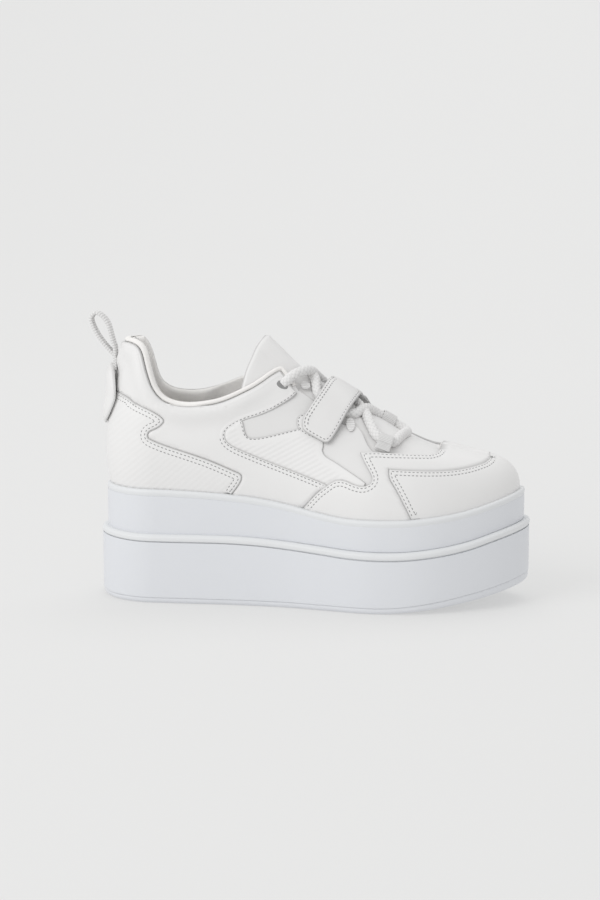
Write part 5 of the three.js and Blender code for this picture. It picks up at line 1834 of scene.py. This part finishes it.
class SNEAKER_OT_lace(bpy.types.Operator):
    """Builds the braided rope lace and its webbing keepers"""

    bl_idname = "sneaker.lace"
    bl_label = "Lace"

    def execute(self, context):
        shop = Workshop.of(context)
        last = shop.last
        radius = shop.lace_radius
        verts, faces, braid_shade = [], [], []
        sides = 48
        turn = np.arange(sides) / sides * 2 * np.pi
        for rows in (LACE_LONG, LACE_SHORT):
            line = shop.cord(rows, LACE_STEP)
            run = unit(np.gradient(line, axis=0))
            normal = last.normal(*last.seek(line[:, 0], line[:, 1]))
            normal = unit(normal - run * (normal * run).sum(1)[:, None])
            side = np.cross(run, normal)
            first = len(verts)
            for i, p in enumerate(line):
                wind, round_it = np.pi * i * LACE_STEP / BRAID_PITCH * 2, turn * BRAID_STRANDS
                strand = np.abs(np.sin(round_it + wind)) * np.abs(np.sin(round_it - wind))
                r = radius * (0.93 + 0.12 * np.sqrt(strand))
                across, up = (r * np.cos(turn))[:, None], (r * np.sin(turn))[:, None]
                verts.extend(p + side[i] * across + normal[i] * up)
                # Painted shade between the strands of the braid
                braid_shade.extend((1 - np.sqrt(strand)) ** 3)
            faces += quads(len(line), sides, first)
            faces.append([first + k for k in range(sides)][::-1])
            faces.append([first + (len(line) - 1) * sides + k for k in range(sides)])
        item = mesh_object("rope_lace", verts, faces, {"groove": braid_shade})
        shop.finish(item, shop.rope, "cord", "lace")
        # A thin dark disc round each lace end, in the thread's dark grey: painted shade of the punched eyelet
        # hole
        for rows, name in ((LACE_LONG, "eyelet_hole_shade_outer"), (LACE_SHORT, "eyelet_hole_shade_inner")):
            theta, c = last.seek(rows["x"][:1] - 0.9, rows["y"][:1] * 1.04)
            item = pillow(last, name, (theta[0], c[0]), (0.0100, 0.030), 1.7, 2.25, 0.0)
            shop.finish(item, shop.thread, "cord")
        self.keeper(shop, LACE_LONG, 12, 1, "lace_keeper_outer", "keeper_outer")
        self.keeper(shop, LACE_SHORT, 13, -1, "lace_keeper_inner", "keeper_inner")
        return {"FINISHED"}

    def keeper(self, shop, rows, index, tail_side, name, node_name):
        """A strip of webbing folded round the lace, its tail on the leather."""
        last = shop.last
        line = shop.lace_line(rows)
        here, run = line[index], unit(line[index + 1] - line[index - 1])
        theta, c = last.seek(rows["x"][index : index + 1], rows["y"][index : index + 1])
        normal = last.normal(theta, c)[0]
        down = unit(np.cross(run, normal) * tail_side)
        axis = np.cross(down, normal)
        up = np.cross(axis, down)
        reach = shop.lace_radius + 1.0
        turns = np.linspace(math.pi * 2 - 0.5, 0.5, 40)
        strip = [(reach * 1.9, -reach * 0.35), (reach * 1.45, -reach * 0.35)]
        strip += [(reach * math.cos(t), reach * math.sin(t)) for t in turns]
        strip += [(reach * 1.45, reach * 0.1), (reach * 1.9, -reach * 0.05)]
        strip = evenly(spline(np.array([(a, b, 0) for a, b in strip]), 3), 0.35)
        path = here + down * strip[:, :1] + up * strip[:, 1:2]
        normals = np.cross(unit(np.gradient(path, axis=0)), axis)
        item = webbing_strip(name, path, normals, 9.4, 1.1, 0.9)
        shop.finish(item, shop.webbing, "cord", node_name)


def webbing_strip(name, path, normals, wide, thick, rib_pitch):
    """A flat woven strip with rounded edges, carried along a path; its ribs run across it."""
    turn = np.linspace(0, 2 * math.pi, 28, endpoint=False)
    section = np.stack(
        [
            wide / 2 * np.sign(np.cos(turn)) * np.abs(np.cos(turn)) ** 0.25,
            thick / 2 * np.sign(np.sin(turn)) * np.abs(np.sin(turn)) ** 0.7,
        ],
        axis=1,
    )
    normals = unit(normals)
    after = np.roll(path, -1, axis=0) - np.roll(path, 1, axis=0)
    after[0], after[-1] = path[1] - path[0], path[-1] - path[-2]
    run = unit(after)
    normals = unit(normals - run * (normals * run).sum(1)[:, None])
    side = np.cross(run, normals)
    verts = path[:, None] + side[:, None] * section[:, :1] + normals[:, None] * section[:, 1:]
    count, around = len(path), len(turn)
    ends = [list(range(around))[::-1], [(count - 1) * around + k for k in range(around)]]
    length = np.concatenate([[0], np.cumsum(np.linalg.norm(np.diff(path, axis=0), axis=1))])
    ribs = {"rib": np.repeat(length / rib_pitch, around)}
    return join_doubles(mesh_object(name, verts.reshape(-1, 3), quads(count, around) + ends, ribs))


class SNEAKER_OT_heel(bpy.types.Operator):
    """Builds the heel's oval pad, its pull loop and the small webbing tabs"""

    bl_idname = "sneaker.heel"
    bl_label = "Heel pad, loop and tabs"

    def execute(self, context):
        shop = Workshop.of(context)
        last = shop.last
        on_counter = CLEAR + 2.0 + CLEAR
        item = pillow(last, "heel_bumper", (0.0, 0.27), (0.1, 0.098), on_counter, on_counter + 4.2, 2.6)
        shop.finish(item, shop.leather, "leather", "heel_pad")
        for name, x, y, size, high, node_name in (
            ("tongue_loop", -4.4, -11.2, (0.008, 0.045), 0.8, "tongue_tab"),
            ("webbing_tab", 25.6, -25.0, (0.008, 0.06), 1.3, "lace_tab"),
        ):
            theta, c = last.seek(np.array([x]), np.array([y]))
            item = pillow(last, name, (theta[0], c[0]), size, 0.3, high, 0.0)
            shop.finish(item, shop.webbing, "cord", node_name)
        self.pull(shop)
        return {"FINISHED"}

    def pull(self, shop):
        """The webbing loop above the pad, folded once and sewn in at its two ends."""
        last = shop.last
        height = 38.0
        foot = last.platform + last.collar * 0.770
        heel = last.length * (0.0397 - 0.5)
        line = np.stack(
            [heel - LOOP_LINE["back"] * height, 0 * LOOP_LINE["up"], foot + LOOP_LINE["up"] * height], axis=1
        )
        root = np.array([[heel - 1.6, 0, foot + 0.6]])
        line = np.vstack([root, line, root + [[-0.4, 0, 0]]])
        path = evenly(spline(line, 10), 0.4)
        normals = np.cross(unit(np.gradient(path, axis=0)), np.tile([0.0, 1.0, 0.0], (len(path), 1)))
        item = webbing_strip("webbing_pull", path, normals, 9.0, 2.3, 1.7)
        shop.finish(item, shop.webbing, "cord", "pull_loop")


def pillow(last, name, middle, half, low, high, lean):
    """A soft oval pad on the form between two lifts; a lean makes it stand off towards its top."""
    rings, spokes = 20, 80
    turn = np.arange(spokes) / spokes * 2 * np.pi
    thick = high - low
    edge = min(0.55, 1.2 * thick / (half[1] * Chart.TALL))
    verts, faces = [], []
    for upper in (False, True):
        first = len(verts)
        for r in np.linspace(0, 1, rings + 1):
            angle = turn if r else turn[:1]
            theta = middle[0] + half[0] * r * np.cos(angle)
            c = middle[1] + half[1] * r * np.sin(angle)
            tilt = lean * (1 + r * np.sin(angle)) / 2
            swell = rounded(np.array([1 - r]), edge)[0]
            lift = low + thick * 0.35 + tilt + (0.65 if upper else -0.35) * thick * swell
            lift = lift - (0 if upper else 0.8 * tilt * swell)
            around = unit(sum(last.normal(theta, c + d) for d in (-0.06, -0.03, 0, 0.03, 0.06)))
            verts.extend(last.skin(theta, c) + around * (lift - COVER)[:, None])
        for k in range(spokes):
            after = (k + 1) % spokes
            fan = [(first, first + 1 + k, first + 1 + after)]
            for i in range(rings - 1):
                a, b = first + 1 + i * spokes + k, first + 1 + i * spokes + after
                fan.append((a, a + spokes, b + spokes, b))
            faces.extend(f if upper else f[::-1] for f in fan)
    rib = [v[2] / 1.3 for v in verts]
    return join_doubles(mesh_object(name, verts, faces, {"rib": rib}))


class SneakerSizes(bpy.types.PropertyGroup):
    """Sizes of the shoe"""

    length: bpy.props.FloatProperty(
        name="Sole length", description="Length of the lower tier", default=0.280, unit="LENGTH"
    )
    ball_width: bpy.props.FloatProperty(
        name="Ball width", description="Widest part of the sole", default=0.107, unit="LENGTH"
    )
    platform: bpy.props.FloatProperty(
        name="Platform", description="Height of the platform at the heel", default=0.074, unit="LENGTH"
    )
    lower_tier: bpy.props.FloatProperty(
        name="Lower tier", description="Height of the lower tier at the heel", default=0.0453, unit="LENGTH"
    )
    collar_height: bpy.props.FloatProperty(
        name="Collar height", description="Height of the heel over the platform", default=0.095, unit="LENGTH"
    )
    toe_spring: bpy.props.FloatProperty(
        name="Toe spring", description="Rise of the tread at the toe", default=0.014, unit="LENGTH"
    )
    lace_diameter: bpy.props.FloatProperty(
        name="Lace diameter", description="Thickness of the rope lace", default=0.0064, unit="LENGTH"
    )
    stitch_pitch: bpy.props.FloatProperty(
        name="Stitch pitch", description="Distance from one stitch to the next", default=0.0026, unit="LENGTH"
    )


class SneakerColours(bpy.types.PropertyGroup):
    """Colours of the shoe and the floor"""

    leather: bpy.props.FloatVectorProperty(
        name="Leather", description="Colour of the leather", subtype="COLOR", default=(0.83, 0.825, 0.82)
    )
    rubber: bpy.props.FloatVectorProperty(
        name="Rubber", description="Colour of the platform", subtype="COLOR", default=(0.74, 0.755, 0.785)
    )
    lining: bpy.props.FloatVectorProperty(
        name="Lining", description="Colour of the lining", subtype="COLOR", default=(0.92, 0.905, 0.885)
    )
    cord: bpy.props.FloatVectorProperty(
        name="Cord", description="Colour of lace and webbing", subtype="COLOR", default=(0.84, 0.835, 0.83)
    )
    # Darker than the real thread: partly the thread's own grey, partly painted shade of the stitch holes
    thread: bpy.props.FloatVectorProperty(
        name="Thread", description="Colour of the stitches", subtype="COLOR", default=(0.30, 0.30, 0.30)
    )
    floor: bpy.props.FloatVectorProperty(
        name="Floor", description="Colour of the floor", subtype="COLOR", default=(0.39, 0.39, 0.388)
    )


class SNEAKER_PT_sidebar(bpy.types.Panel):
    """Sizes, colours and building steps"""

    bl_label = "Platform sneaker"
    bl_idname = "SNEAKER_PT_sidebar"
    bl_space_type = "VIEW_3D"
    bl_region_type = "UI"
    bl_category = "Sneaker"

    def draw(self, context):
        for group in (context.scene.sneaker_sizes, context.scene.sneaker_colours):
            for key in group.__annotations__:
                self.layout.prop(group, key)
        for operator in OPERATORS:
            self.layout.operator(operator.bl_idname)


OPERATORS = (
    SNEAKER_OT_stage,
    SNEAKER_OT_lace,
    SNEAKER_OT_sole,
    SNEAKER_OT_upper,
    SNEAKER_OT_panels,
    SNEAKER_OT_collar,
    SNEAKER_OT_tongue,
    SNEAKER_OT_strap,
    SNEAKER_OT_heel,
)
CLASSES = (SneakerSizes, SneakerColours, *OPERATORS, SNEAKER_PT_sidebar)


def register():
    for item in CLASSES:
        bpy.utils.register_class(item)
    bpy.types.Scene.sneaker_sizes = bpy.props.PointerProperty(type=SneakerSizes)
    bpy.types.Scene.sneaker_colours = bpy.props.PointerProperty(type=SneakerColours)


def unregister():
    del bpy.types.Scene.sneaker_sizes
    del bpy.types.Scene.sneaker_colours
    for item in reversed(CLASSES):
        bpy.utils.unregister_class(item)


def main():
    register()
    bpy.ops.sneaker.stage()
    bpy.ops.sneaker.lace()
    bpy.ops.sneaker.sole()
    bpy.ops.sneaker.upper()
    bpy.ops.sneaker.panels()
    bpy.ops.sneaker.collar()
    bpy.ops.sneaker.tongue()
    bpy.ops.sneaker.strap()
    bpy.ops.sneaker.heel()


if __name__ == "__main__":
    main()
